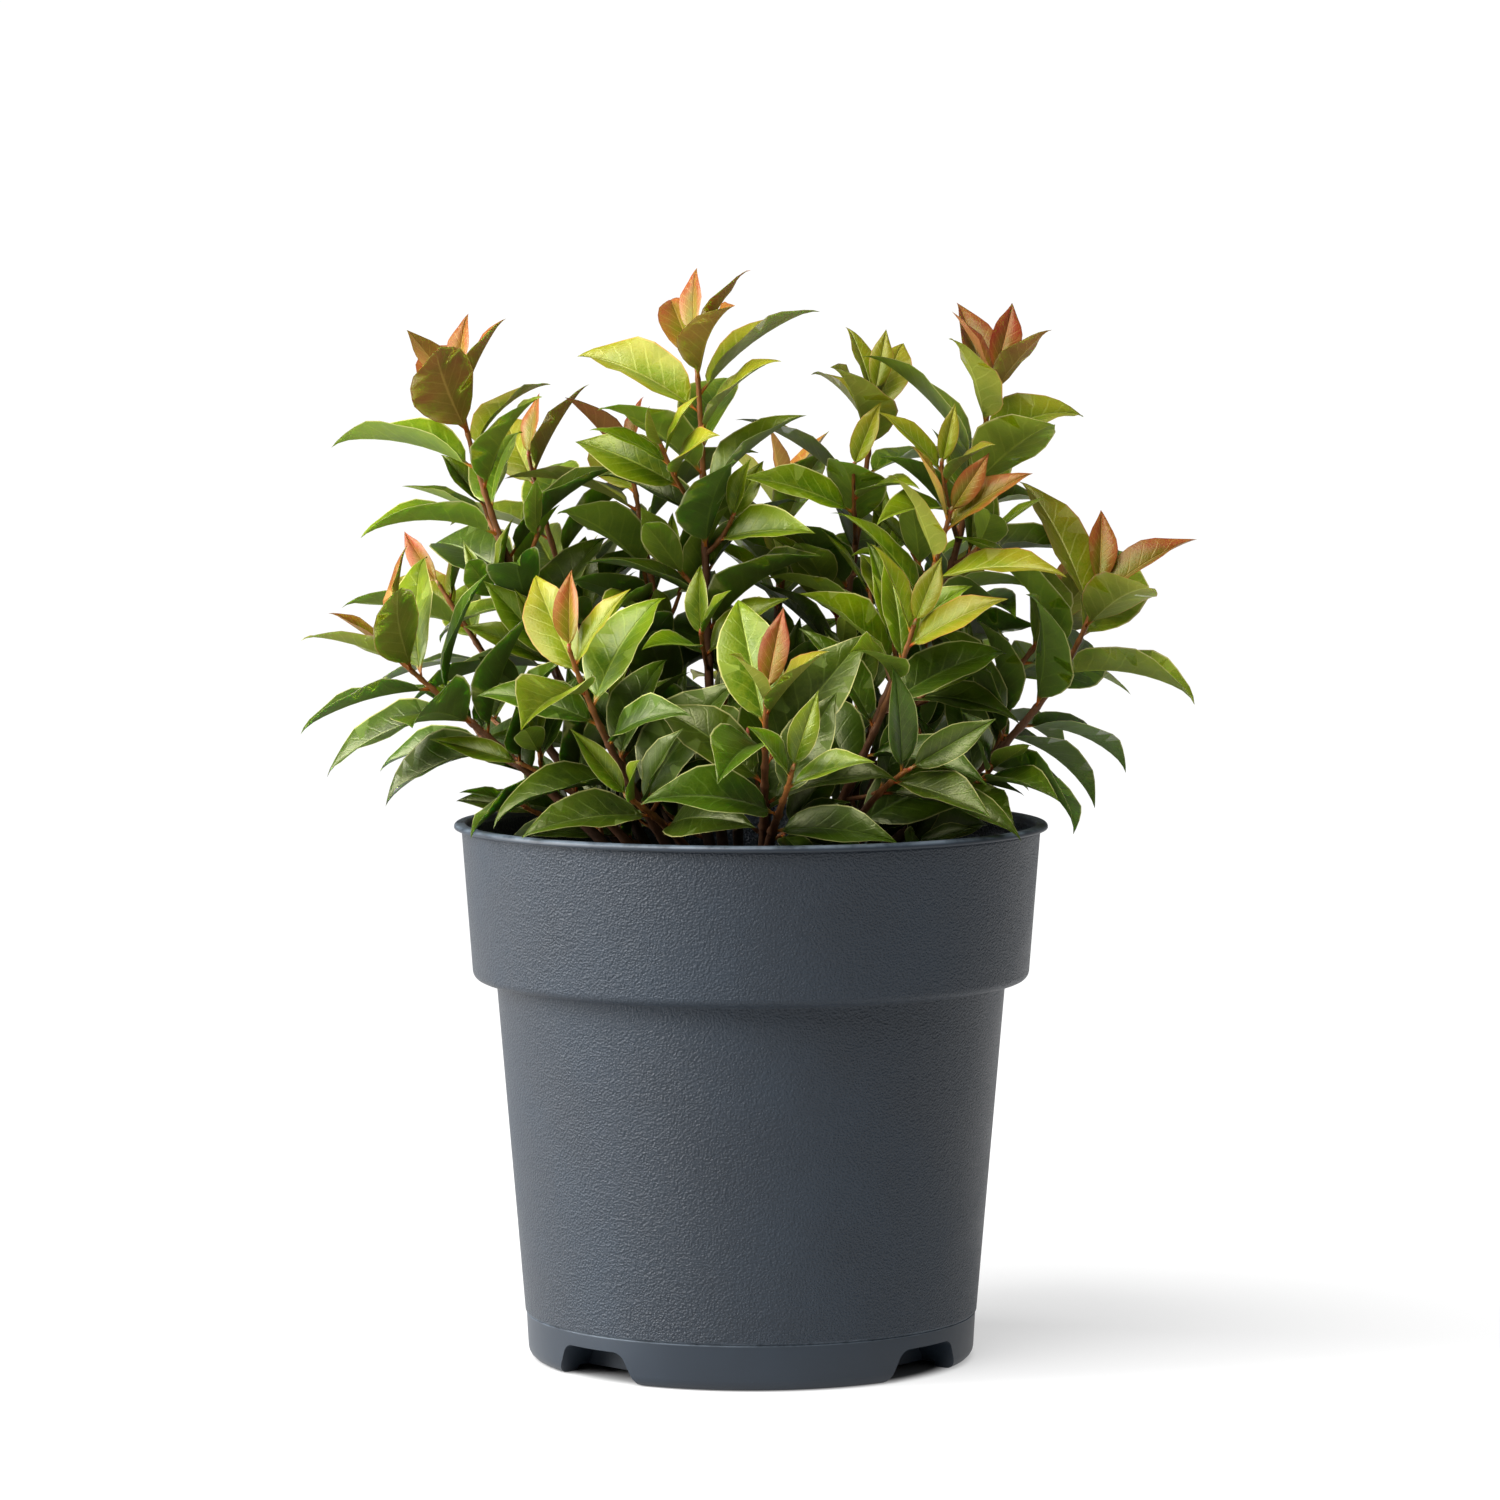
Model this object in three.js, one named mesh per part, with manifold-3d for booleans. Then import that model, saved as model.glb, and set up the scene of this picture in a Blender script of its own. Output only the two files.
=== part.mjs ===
// Potted coast leucothoe: an evergreen shrub of many arching shoots in a round nursery pot.
// Millimetres, +Z up. The origin is the centre of the pot's underside, and the shrub's front faces -Y.

import * as THREE from "three";
import { mergeVertices } from "three/addons/utils/BufferGeometryUtils.js";
import Module from "manifold-3d";

const wasm = await Module();
wasm.setup();

// Driving dimensions of the pot.
const POT_HEIGHT = 190;
const LIP_RADIUS = 105;
const LIP_DROP = 2;
const WALL = 2;
const BAND_TOP_RADIUS = 102.4;
const BAND_BOTTOM_RADIUS = 98.3;
const BAND_BOTTOM = 134.5;
const BODY_TOP_RADIUS = 90.2;
const BODY_BOTTOM_RADIUS = 80.2;
const FOOT_HEIGHT = 16.5;
const FOOT_RADIUS = 79.8;
const CONTACT_RADIUS = 75;
const RECESS_RADIUS = 70;
const RECESS_DEPTH = 2;
const FLOOR_TOP = 5;
const POT_SIDES = 40;

// Four drain notches in the foot, their middles in degrees from the front towards +X.
const NOTCH_ANGLES = [51.3, 135.7, 231.3, 315.7];
const NOTCH_HEIGHT = 11.3;
const NOTCH_TOP_WIDTH = 27;
const NOTCH_BOTTOM_WIDTH = 38;
const NOTCH_INNER_RADIUS = 63;
const NOTCH_CORNER = 3;
const NOTCH_SINK = 5;

// Gap kept between pieces that touch on the real plant and pot.
const GAP = 0.3;
const SOIL_TOP = 168;
const SOIL_EDGE_DROP = 2;
const SOIL_EDGE_WIDTH = 30;

// Stems taper from the foot to the tip, and each foot flares at the soil.
const STEM_FOOT_RADIUS = 2.2;
const STEM_TIP_RADIUS = 0.7;
const ROOT_FLARE = 1.3;
const ROOT_FLARE_SHARE = 0.06;
const TWIG_RADIUS = 0.9;
const CANE_SIDES = 5;
const CANE_STEPS = 4;
const TWIG_SIDES = 3;
const STEM_STEPS = 5;
const TWIG_STEPS = 3;

// A full-grown leaf. Its half width, its petiole and its stations are shares of its length.
const LEAF_LENGTH = 50;
const LEAF_HALF_WIDTH = 0.23;
const LEAF_THICKNESS = 0.8;
const PETIOLE_SHARE = 0.1;
const PETIOLE_HALF_WIDTH = 0.6;
const ROOT_SINK = 0.5;
const BLADE_RISE = 0.7;
const BLADE_FALL = 1;
const BLADE_STATIONS = [0, 0.36, 0.7, 1];
const SHELL_START = 0.03;
const SHELL_MARGIN = 0.35;

// How far a leaf lifts, how far a low one on the outside hangs, and what its face turns to: up, along its
// limb, outwards, and to the light's side, which a grown leaf does less than a young one.
const LEAF_LIFT = 0.42;
const LEAF_DROOP = 0.62;
const LEAF_FACES_UP = 0.7;
const LEAF_FACES_TIP = 0.5;
const LEAF_FACES_OUT = 0.45;
const LEAF_FACES_LIGHT = [0.5, 0.2];
const LIGHT_SIDE = new THREE.Vector3(-0.25, -1, 0).normalize();

// What differs from leaf to leaf: the roll, bend and fold in radians, the length and width as factors.
const LEAF_ROLLS = [-0.35, 0.35];
const LEAF_BENDS = [0.18, 0.5];
const SPREAD_BEND = 0.28;
const DROOP_BEND = 0.25;
const LEAF_FOLDS = [0.3, 0.65];
const LENGTH_FACTORS = [0.88, 1.12];
const WIDTH_FACTORS = [0.88, 1.14];

// Leaves go round a limb in a spiral from its tip. The young ones at the tip are upright, short, slim
// and straight: the spreads are degrees away from the limb.
const SPIRAL_ANGLE = 137.5;
const TURNS_TO_TRY = [0, 26, -26, 52, -52, 80, -80];
const TIP_CROWDING = 1.5;
const FIRST_LEAF = 0.15;
const YOUNG_LEAVES = 4;
const YOUNG_SIZE = 0.56;
const YOUNG_WIDTH = 0.8;
const YOUNG_BEND = 0.35;
const YOUNG_SPREADS = [27, 42];
const GROWN_SPREAD = 18;
const FOOT_SPREAD = 8;

// Side twigs: their places along the leafy part of a stem, their turns in degrees, and their sizes.
const TWIG_LEAVES = 5;
const TWIG_LENGTHS = [26, 40];
const TWIG_FIRST = 0.12;
const TWIG_SPACING = 0.3;
const TWIG_PLACES = [0, 0.1];
const TWIG_TURN = 150;
const TWIG_TURNS = [-15, 15];
const TWIG_LEAN = 0.55;
const TWIG_LIFT = 0.9;
const TWIG_BARE = 0.3;
const TWIG_LEAF_SIZE = 0.85;

// The crown's own limits, and the room that leaves keep from the pot.
const CROWN = new THREE.Box3(new THREE.Vector3(-160, -141, SOIL_TOP + 2), new THREE.Vector3(160, 141, 386));
const CROWN_STEPS = 10;
const RIM_ROOM = 2.5;
const POT_INSIDE = 95;

const UP = new THREE.Vector3(0, 0, 1);
const SIDEWAYS = new THREE.Vector3(1, 0, 0);

// One row for each shoot: its foot on the soil, the tip of its stem, the stem's slope in degrees
// at the foot and at the tip, the bare share of the stem, its leaves, the direction of its first leaf
// in degrees from the right (+X) towards the back, its side twigs and its leaves' size.
const SHOOTS = [
  ["crest", [-8, 4], [-20, 0, 361], 80, 84, 0.36, 17, 62, 2, 1.04],
  ["top_right", [27, 4], [86, 5, 347], 62, 80, 0.42, 14, 64, 2, 1.06],
  ["top_left", [-30, 6], [-104, 8, 343], 60, 78, 0.4, 15, 58, 1, 1.06],
  ["upper_right", [12, 8], [44, 20, 341], 74, 84, 0.4, 12, 70, 2, 1],
  ["far_right", [31, -5], [122, -10, 273], 38, 76, 0.34, 14, 100, 1, 1.2],
  ["far_left", [-38, -8], [-125.6, -15, 250], 48, 42, 0.38, 13, 235, 1, 1.15],
  ["low_left", [-32, -19], [-80, -24, 212], 60, 24, 0.42, 6, 150, 0, 1.15],
  ["front", [4, -28], [5, -82, 240], 55, 80, 0.25, 9, 60, 1, 1.1],
  ["front_left", [-20, -24], [-62, -66, 254], 50, 66, 0.3, 11, 66, 1, 1.03],
  ["front_right", [17, -20], [56, -54, 262], 60, 70, 0.32, 9, 56, 1, 1],
  ["bronze", [22, -9], [69, -34, 300], 70, 74, 0.44, 11, 52, 1, 1.04],
  ["low_right", [24, -32], [54, -64, 213], 60, 25, 0.3, 6, 0, 0, 1.15],
  ["low_front_left", [-14, -37], [-42, -72, 204], 62, 26, 0.3, 6, 135, 0, 1.05],
  ["low_front", [3, -43], [14, -103, 216], 60, 40, 0.3, 6, 60, 0, 1],
  ["inner_left", [-12, 16], [-43, 30, 316], 76, 80, 0.35, 13, 64, 2, 1],
  ["upper_left", [-24, 20], [-80, 46, 318], 64, 76, 0.4, 13, 60, 1, 0.98],
  ["back", [4, 24], [12, 74, 304], 70, 70, 0.3, 11, 242, 2, 1],
  ["back_right", [24, 30], [76, 78, 272], 58, 56, 0.34, 11, 235, 2, 1],
  ["back_left", [-22, 34], [-66, 83, 266], 58, 56, 0.34, 11, 250, 2, 1],
  ["side_right", [34, 17], [112, 42, 262], 50, 50, 0.4, 11, 20, 1, 1],
  ["side_left", [-37, 14], [-112, 38, 272], 50, 56, 0.4, 11, 66, 1, 1],
  ["low_back", [-4, 42], [-8, 88, 236], 54, 42, 0.34, 10, 200, 1, 1],
].map(([name, foot, tip, rise, lift, bare, leaves, turn, twigs, size]) => (
  { name, foot, tip, rise, lift, bare, leaves, turn, twigs, size }
));

const MATERIALS = {
  pot: new THREE.MeshStandardMaterial({ color: 0x4a5058, roughness: 0.55, metalness: 0 }),
  soil: new THREE.MeshStandardMaterial({ color: 0x2b2019, roughness: 0.95, metalness: 0 }),
  cane: new THREE.MeshStandardMaterial({ color: 0x6b4a2e, roughness: 0.75, metalness: 0 }),
  foliage: new THREE.MeshStandardMaterial({ color: 0x4f7a1e, roughness: 0.45, metalness: 0 }),
};

// Solids and meshes

function toSolid(geometry) {
  const plain = geometry.clone();
  plain.deleteAttribute("normal");
  plain.deleteAttribute("uv");
  const merged = mergeVertices(plain, 1e-4);
  const corners = merged.index.array;
  const kept = [];
  for (let i = 0; i < corners.length; i += 3) {
    const [a, b, c] = [corners[i], corners[i + 1], corners[i + 2]];
    if (a !== b && b !== c && c !== a) {
      kept.push(a, b, c);
    }
  }
  const vertProperties = new Float32Array(merged.attributes.position.array);
  return new wasm.Manifold(new wasm.Mesh({ numProp: 3, vertProperties, triVerts: new Uint32Array(kept) }));
}

function toMesh(name, solid, material) {
  const { vertProperties, triVerts } = solid.getMesh();
  const geometry = new THREE.BufferGeometry();
  geometry.setAttribute("position", new THREE.Float32BufferAttribute(vertProperties, 3));
  geometry.setIndex(Array.from(triVerts));
  geometry.computeVertexNormals();
  const mesh = new THREE.Mesh(geometry, material);
  mesh.name = name;
  return mesh;
}

function turned(profile) {
  const points = profile.map(([radius, height]) => new THREE.Vector2(radius, height));
  return toSolid(new THREE.LatheGeometry(points, POT_SIDES).rotateX(Math.PI / 2));
}

// Pot and soil

const POT_OUTSIDE = [
  [0, RECESS_DEPTH],
  [RECESS_RADIUS, RECESS_DEPTH],
  [RECESS_RADIUS + 1, 0],
  [CONTACT_RADIUS, 0],
  [CONTACT_RADIUS + 3.2, 1.8],
  [FOOT_RADIUS, FOOT_HEIGHT - 0.4],
  [BODY_BOTTOM_RADIUS, FOOT_HEIGHT],
  [BODY_TOP_RADIUS, BAND_BOTTOM],
  [BAND_BOTTOM_RADIUS - 2, BAND_BOTTOM],
  [BAND_BOTTOM_RADIUS, BAND_BOTTOM + 2.5],
  [BAND_TOP_RADIUS, POT_HEIGHT - LIP_DROP],
  [LIP_RADIUS, POT_HEIGHT - LIP_DROP],
  [LIP_RADIUS, POT_HEIGHT - LIP_DROP / 2],
  [LIP_RADIUS - 1.6, POT_HEIGHT],
  [LIP_RADIUS - 3.6, POT_HEIGHT],
  [0, POT_HEIGHT],
];

function potInside(shrink) {
  return [
    [0, FLOOR_TOP + shrink],
    [FOOT_RADIUS - WALL - shrink, FLOOR_TOP + shrink],
    [BODY_BOTTOM_RADIUS - WALL - shrink, FOOT_HEIGHT],
    [BODY_TOP_RADIUS - WALL - shrink, BAND_BOTTOM + WALL],
    [BAND_BOTTOM_RADIUS - WALL - shrink, BAND_BOTTOM + 2.5 * WALL],
    [BAND_TOP_RADIUS - WALL - shrink, POT_HEIGHT - LIP_DROP],
  ];
}

// A notch's block points outwards from the axis: `grown` is what it is larger by on each side.
function notchBlocks(innerRadius, outerRadius, grown) {
  const half = NOTCH_BOTTOM_WIDTH / 2 + grown;
  const halfTop = NOTCH_TOP_WIDTH / 2 + grown;
  const top = NOTCH_HEIGHT + grown;
  const outline = new THREE.Shape();
  outline.moveTo(-half, -NOTCH_SINK);
  outline.lineTo(half, -NOTCH_SINK);
  outline.lineTo(half, 0);
  outline.lineTo(halfTop + 1, top - NOTCH_CORNER);
  outline.lineTo(halfTop - NOTCH_CORNER, top);
  outline.lineTo(-halfTop + NOTCH_CORNER, top);
  outline.lineTo(-halfTop - 1, top - NOTCH_CORNER);
  outline.lineTo(-half, 0);
  outline.closePath();
  const depth = outerRadius - innerRadius;
  return NOTCH_ANGLES.map((angle) => {
    const block = new THREE.ExtrudeGeometry(outline, { depth, bevelEnabled: false });
    block.translate(0, 0, innerRadius);
    block.rotateX(Math.PI / 2);
    block.rotateZ(THREE.MathUtils.degToRad(angle));
    return toSolid(block);
  });
}

function joined(solids) {
  return solids.reduce((sum, solid) => sum.add(solid));
}

function makePot() {
  const topOpening = [[BAND_TOP_RADIUS - WALL, POT_HEIGHT + 1], [0, POT_HEIGHT + 1]];
  const housings = joined(notchBlocks(NOTCH_INNER_RADIUS - WALL, LIP_RADIUS, WALL));
  const cavity = turned([...potInside(0), ...topOpening]).subtract(housings);
  const pockets = joined(notchBlocks(NOTCH_INNER_RADIUS, LIP_RADIUS, 0));
  return turned(POT_OUTSIDE).subtract(cavity).subtract(pockets);
}

function makeSoil() {
  const wallTop = potInside(GAP).at(-1)[0];
  const wallFoot = potInside(GAP).at(-2);
  const edgeHeight = SOIL_TOP - SOIL_EDGE_DROP;
  const climb = (edgeHeight - wallFoot[1]) / (POT_HEIGHT - LIP_DROP - wallFoot[1]);
  const edgeRadius = wallFoot[0] + climb * (wallTop - wallFoot[0]);
  const surface = [[edgeRadius, edgeHeight], [edgeRadius - SOIL_EDGE_WIDTH, SOIL_TOP], [0, SOIL_TOP]];
  const plug = turned([...potInside(GAP).slice(0, -1), ...surface]);
  return plug.subtract(joined(notchBlocks(NOTCH_INNER_RADIUS - WALL - GAP, LIP_RADIUS, WALL + GAP)));
}

// Stems and twigs

function makeRandom(seed) {
  let state = seed;
  return () => {
    state = (state * 1664525 + 1013904223) % 4294967296;
    return state / 4294967296;
  };
}

function between(random, low, high) {
  return low + (high - low) * random();
}

function sloped(outward, degrees) {
  const angle = THREE.MathUtils.degToRad(degrees);
  return outward.clone().multiplyScalar(Math.cos(angle)).addScaledVector(UP, Math.sin(angle));
}

// The stem of a shoot leaves the soil at one slope and reaches its tip at another.
function stemCurve(shoot) {
  const foot = new THREE.Vector3(...shoot.foot, SOIL_TOP + GAP);
  const tip = new THREE.Vector3(...shoot.tip);
  const outward = tip.clone().sub(foot).setZ(0).normalize();
  const third = foot.distanceTo(tip) / 3;
  const low = foot.clone().addScaledVector(sloped(outward, shoot.rise), third);
  const high = tip.clone().addScaledVector(sloped(outward, shoot.lift), -third);
  return new THREE.CubicBezierCurve3(foot, low, high, tip);
}

function crossAxes(tangent) {
  const a = SIDEWAYS.clone().addScaledVector(tangent, -SIDEWAYS.dot(tangent)).normalize();
  return [a, tangent.clone().cross(a)];
}

function around(tangent, degrees) {
  const [a, b] = crossAxes(tangent);
  const angle = THREE.MathUtils.degToRad(degrees);
  return a.multiplyScalar(Math.cos(angle)).addScaledVector(b, Math.sin(angle));
}

// A straight cylinder bent along a curve: `radiusAt` gives its radius for each share of the curve.
// Its few sides enclose as much as a round section would.
function bentRod(curve, from, to, radiusAt, sides, steps) {
  const corner = Math.sqrt((2 * Math.PI) / (sides * Math.sin((2 * Math.PI) / sides)));
  const rod = new THREE.CylinderGeometry(corner, corner, 1, sides, steps).rotateX(Math.PI / 2);
  const places = rod.attributes.position;
  for (let i = 0; i < places.count; i += 1) {
    const share = from + (to - from) * (places.getZ(i) + 0.5);
    const point = curve.getPoint(share);
    const [a, b] = crossAxes(curve.getTangent(share));
    const radius = radiusAt(share);
    point.addScaledVector(a, places.getX(i) * radius).addScaledVector(b, places.getY(i) * radius);
    places.setXYZ(i, point.x, point.y, point.z);
  }
  return rod;
}

function stemRadius(share) {
  const flare = ROOT_FLARE * Math.max(0, 1 - share / ROOT_FLARE_SHARE) ** 2;
  return THREE.MathUtils.lerp(STEM_FOOT_RADIUS, STEM_TIP_RADIUS, share) + flare;
}

function twigRadius(share) {
  return THREE.MathUtils.lerp(TWIG_RADIUS, STEM_TIP_RADIUS, share);
}

// A foot is cut flat on the soil, whatever the slope of its stem.
function cutFlat(rod) {
  const places = rod.attributes.position;
  for (let i = 0; i < places.count; i += 1) {
    places.setZ(i, Math.max(places.getZ(i), SOIL_TOP + GAP));
  }
  return rod;
}

// Leaves

function bladeShape(share) {
  const along = Math.max(0, (share - PETIOLE_SHARE) / (1 - PETIOLE_SHARE));
  const widest = BLADE_RISE / (BLADE_RISE + BLADE_FALL);
  const most = widest ** BLADE_RISE * (1 - widest) ** BLADE_FALL;
  return (along ** BLADE_RISE * (1 - along) ** BLADE_FALL) / most;
}

// A point of a leaf: `share` along it, `across` from -1 to 1, `above` its middle face.
function leafPoint(leaf, share, across, above, margin = 0) {
  const angle = leaf.bend * share;
  const forward = (Math.sin(angle) / leaf.bend) * leaf.length;
  const back = ((1 - Math.cos(angle)) / leaf.bend) * leaf.length;
  const face = leaf.normal.clone().multiplyScalar(Math.cos(angle));
  face.addScaledVector(leaf.along, Math.sin(angle));
  const narrowest = share < 1 ? PETIOLE_HALF_WIDTH : 0;
  const half = Math.max(leaf.halfWidth * bladeShape(share), narrowest) + margin;
  return leaf.base.clone()
    .addScaledVector(leaf.along, forward)
    .addScaledVector(leaf.normal, -back)
    .addScaledVector(leaf.side, across * half * Math.cos(leaf.fold))
    .addScaledVector(face, Math.abs(across) * half * Math.sin(leaf.fold) + above);
}

// The blade is a flattened four-sided rod: two of its sides are the leaf's edges, and two its upper and
// lower midrib. Its root, sunk in the stem, is an upright edge, and its end is a point.
function leafGeometry(leaf) {
  const last = BLADE_STATIONS.length - 1;
  const blade = new THREE.CylinderGeometry(1, 1, 1, 4, last).rotateX(Math.PI / 2);
  const places = blade.attributes.position;
  for (let i = 0; i < places.count; i += 1) {
    const [x, y] = [Math.round(places.getX(i)), Math.round(places.getY(i))];
    const station = Math.round((places.getZ(i) + 0.5) * last);
    const across = station === 0 || station === last ? 0 : x;
    const above = station === 0 ? Math.sign(2 * y + x) : y;
    const thickness = station === last ? 0 : LEAF_THICKNESS;
    const point = leafPoint(leaf, BLADE_STATIONS[station], across, (above * thickness) / 2);
    places.setXYZ(i, point.x, point.y, point.z);
  }
  return blade;
}

// The shell of a leaf is the room that it needs, from just outside its stem to its tip.
function leafShell(leaf) {
  const last = BLADE_STATIONS.length - 1;
  const room = new THREE.CylinderGeometry(1, 1, 1, 4, last).rotateX(Math.PI / 2);
  const places = room.attributes.position;
  for (let i = 0; i < places.count; i += 1) {
    const station = Math.round((places.getZ(i) + 0.5) * last);
    const share = Math.max(SHELL_START, BLADE_STATIONS[station]);
    const above = Math.round(places.getY(i)) * (LEAF_THICKNESS / 2 + SHELL_MARGIN);
    const point = leafPoint(leaf, share, Math.round(places.getX(i)), above, SHELL_MARGIN);
    places.setXYZ(i, point.x, point.y, point.z);
  }
  return toShell([room]);
}

// A leaf on a stem. A grown leaf low on the outer side of the shrub hangs, and every leaf turns its face
// a little outwards and to the light.
function makeLeaf(base, tangent, radial, spread, age, size, random) {
  const outward = new THREE.Vector3(base.x, base.y, 0).normalize();
  const lowness = (CROWN.max.z - base.z) / (CROWN.max.z - SOIL_TOP);
  const droop = age * lowness * Math.max(0, radial.dot(outward));
  const along = tangent.clone().multiplyScalar(Math.cos(spread)).addScaledVector(radial, Math.sin(spread));
  along.addScaledVector(UP, LEAF_LIFT - LEAF_DROOP * droop).normalize();
  const roll = between(random, ...LEAF_ROLLS);
  const grownBend = between(random, ...LEAF_BENDS) + SPREAD_BEND * spread + DROOP_BEND * droop;
  const bend = grownBend * THREE.MathUtils.lerp(YOUNG_BEND, 1, age);
  const fold = between(random, ...LEAF_FOLDS);
  const length = LEAF_LENGTH * size * between(random, ...LENGTH_FACTORS);
  const grownHalf = length * LEAF_HALF_WIDTH * between(random, ...WIDTH_FACTORS);
  const halfWidth = grownHalf * THREE.MathUtils.lerp(YOUNG_WIDTH, 1, age);
  const facing = UP.clone().multiplyScalar(LEAF_FACES_UP).addScaledVector(tangent, LEAF_FACES_TIP);
  facing.addScaledVector(outward, LEAF_FACES_OUT);
  facing.addScaledVector(LIGHT_SIDE, THREE.MathUtils.lerp(...LEAF_FACES_LIGHT, age));
  const normal = facing.addScaledVector(along, -facing.dot(along)).normalize();
  const side = normal.clone().cross(along);
  base.addScaledVector(along, -ROOT_SINK);
  normal.multiplyScalar(Math.cos(roll)).addScaledVector(side, Math.sin(roll));
  side.crossVectors(normal, along);
  return { base, along, normal, side, length, halfWidth, bend, fold };
}

function clearOfPot(point) {
  const radius = Math.hypot(point.x, point.y);
  return point.z > POT_HEIGHT + RIM_ROOM || radius < POT_INSIDE || radius > LIP_RADIUS + RIM_ROOM;
}

function staysInCrown(leaf) {
  for (let step = 1; step <= CROWN_STEPS; step += 1) {
    for (const across of [-1, 0, 1]) {
      const point = leafPoint(leaf, step / CROWN_STEPS, across, 0);
      if (!CROWN.containsPoint(point) || !clearOfPot(point)) {
        return false;
      }
    }
  }
  return true;
}

// Keeping leaves, twigs and stems apart

function toShell(geometries) {
  const triangles = [];
  const box = new THREE.Box3();
  for (const { attributes, index } of geometries) {
    for (let i = 0; i < index.count; i += 3) {
      const corners = [0, 1, 2].map((n) => index.getX(i + n));
      triangles.push(corners.map((n) => new THREE.Vector3().fromBufferAttribute(attributes.position, n)));
    }
    triangles.flat().forEach((corner) => box.expandByPoint(corner));
  }
  return { triangles, box };
}

const ray = new THREE.Ray();
const crossing = new THREE.Vector3();

function edgeCrosses(start, end, [a, b, c]) {
  ray.origin.copy(start);
  ray.direction.subVectors(end, start);
  const length = ray.direction.length();
  if (length < 1e-6) {
    return false;
  }
  ray.direction.divideScalar(length);
  const hit = ray.intersectTriangle(a, b, c, false, crossing);
  return hit !== null && hit.distanceTo(start) <= length;
}

function edgesEnter(shell, other) {
  return shell.triangles.some((corners) => corners.some((start, n) => {
    const end = corners[(n + 1) % 3];
    return other.triangles.some((face) => edgeCrosses(start, end, face));
  }));
}

function shellsTouch(one, other) {
  return one.box.intersectsBox(other.box) && (edgesEnter(one, other) || edgesEnter(other, one));
}

// Growing the shoots

// The rods of a limb: a shoot's stem is a bare cane and then a leafy stem, and a twig is one rod.
function caneRod({ curve, leafyFrom }, margin = 0) {
  return bentRod(curve, 0, leafyFrom, (share) => stemRadius(share) + margin, CANE_SIDES, CANE_STEPS);
}

function leafyRod({ curve, main, leafyFrom }, margin = 0) {
  if (main) {
    const start = leafyFrom + GAP / curve.getLength();
    return bentRod(curve, start, 1, (share) => stemRadius(share) + margin, TWIG_SIDES, STEM_STEPS);
  }
  return bentRod(curve, 0, 1, (share) => twigRadius(share) + margin, TWIG_SIDES, TWIG_STEPS);
}

function limbShell(limb) {
  const rods = [leafyRod(limb, SHELL_MARGIN)];
  return toShell(limb.main ? [caneRod(limb, SHELL_MARGIN), ...rods] : rods);
}

function growLeaves(limb, count, size, turn, random, taken, limbs) {
  const leaves = [];
  for (let k = 0; k < count; k += 1) {
    const share = 1 - (1 - limb.leafyFrom) * ((k + FIRST_LEAF) / count) ** TIP_CROWDING;
    const age = Math.min(1, k / YOUNG_LEAVES);
    const degrees = between(random, ...YOUNG_SPREADS) + GROWN_SPREAD * age + (FOOT_SPREAD * k) / count;
    const spread = THREE.MathUtils.degToRad(degrees);
    const grown = size * THREE.MathUtils.lerp(YOUNG_SIZE, 1, age);
    const draws = makeRandom(Math.floor(random() * 1e9));
    const tangent = limb.curve.getTangent(share);
    for (const nudge of TURNS_TO_TRY) {
      const radial = around(tangent, turn + k * SPIRAL_ANGLE + nudge);
      const leaf = makeLeaf(limb.curve.getPoint(share), tangent, radial, spread, age, grown, draws);
      const shell = leafShell(leaf);
      const touched = taken.some((other) => shellsTouch(shell, other))
        || limbs.some((other) => other.shoot !== limb.shoot && shellsTouch(shell, other.shell));
      if (!touched && staysInCrown(leaf)) {
        taken.push(shell);
        leaves.push(leaf);
        break;
      }
    }
  }
  return leaves;
}

function sideTwig(curve, share, turn, length) {
  const start = curve.getPoint(share);
  const tangent = curve.getTangent(share);
  const out = tangent.clone().multiplyScalar(TWIG_LEAN).add(around(tangent, turn)).normalize();
  const bent = out.clone().addScaledVector(UP, TWIG_LIFT).normalize();
  const middle = start.clone().addScaledVector(out, length / 2);
  const end = middle.clone().addScaledVector(bent, length / 2);
  return new THREE.QuadraticBezierCurve3(start, middle, end);
}

function growLimbs() {
  const stems = SHOOTS.map((shoot) => {
    const stem = { shoot, curve: stemCurve(shoot), main: true, leafyFrom: shoot.bare };
    return { ...stem, shell: limbShell(stem) };
  });
  const limbs = [...stems];
  stems.forEach(({ shoot, curve }, index) => {
    const random = makeRandom(101 + 7 * index);
    const phase = between(random, 0, 360);
    for (let j = 0; j < shoot.twigs; j += 1) {
      const place = TWIG_FIRST + TWIG_SPACING * j + between(random, ...TWIG_PLACES);
      const share = shoot.bare + (1 - shoot.bare) * place;
      const turn = phase + j * TWIG_TURN + between(random, ...TWIG_TURNS);
      const length = between(random, ...TWIG_LENGTHS);
      const twigCurve = sideTwig(curve, share, turn, length);
      const twig = { shoot, curve: twigCurve, main: false, leafyFrom: TWIG_BARE };
      const shell = limbShell(twig);
      if (!limbs.some((other) => other.shoot !== shoot && shellsTouch(shell, other.shell))) {
        limbs.push({ ...twig, shell });
      }
    }
  });
  return limbs;
}

function growMasses() {
  const limbs = growLimbs();
  const taken = [];
  return SHOOTS.map((shoot, index) => {
    const random = makeRandom(5003 + 31 * index);
    const own = limbs.filter((limb) => limb.shoot === shoot);
    const leaves = own.flatMap((limb) => {
      const count = limb.main ? shoot.leaves : TWIG_LEAVES;
      const size = limb.main ? shoot.size : TWIG_LEAF_SIZE * shoot.size;
      const turn = limb.main ? shoot.turn : between(random, 0, 360);
      return growLeaves(limb, count, size, turn, random, taken, limbs);
    });
    return { shoot, limbs: own, leaves };
  });
}

function makeCane(stem) {
  return toSolid(cutFlat(caneRod(stem)));
}

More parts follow.
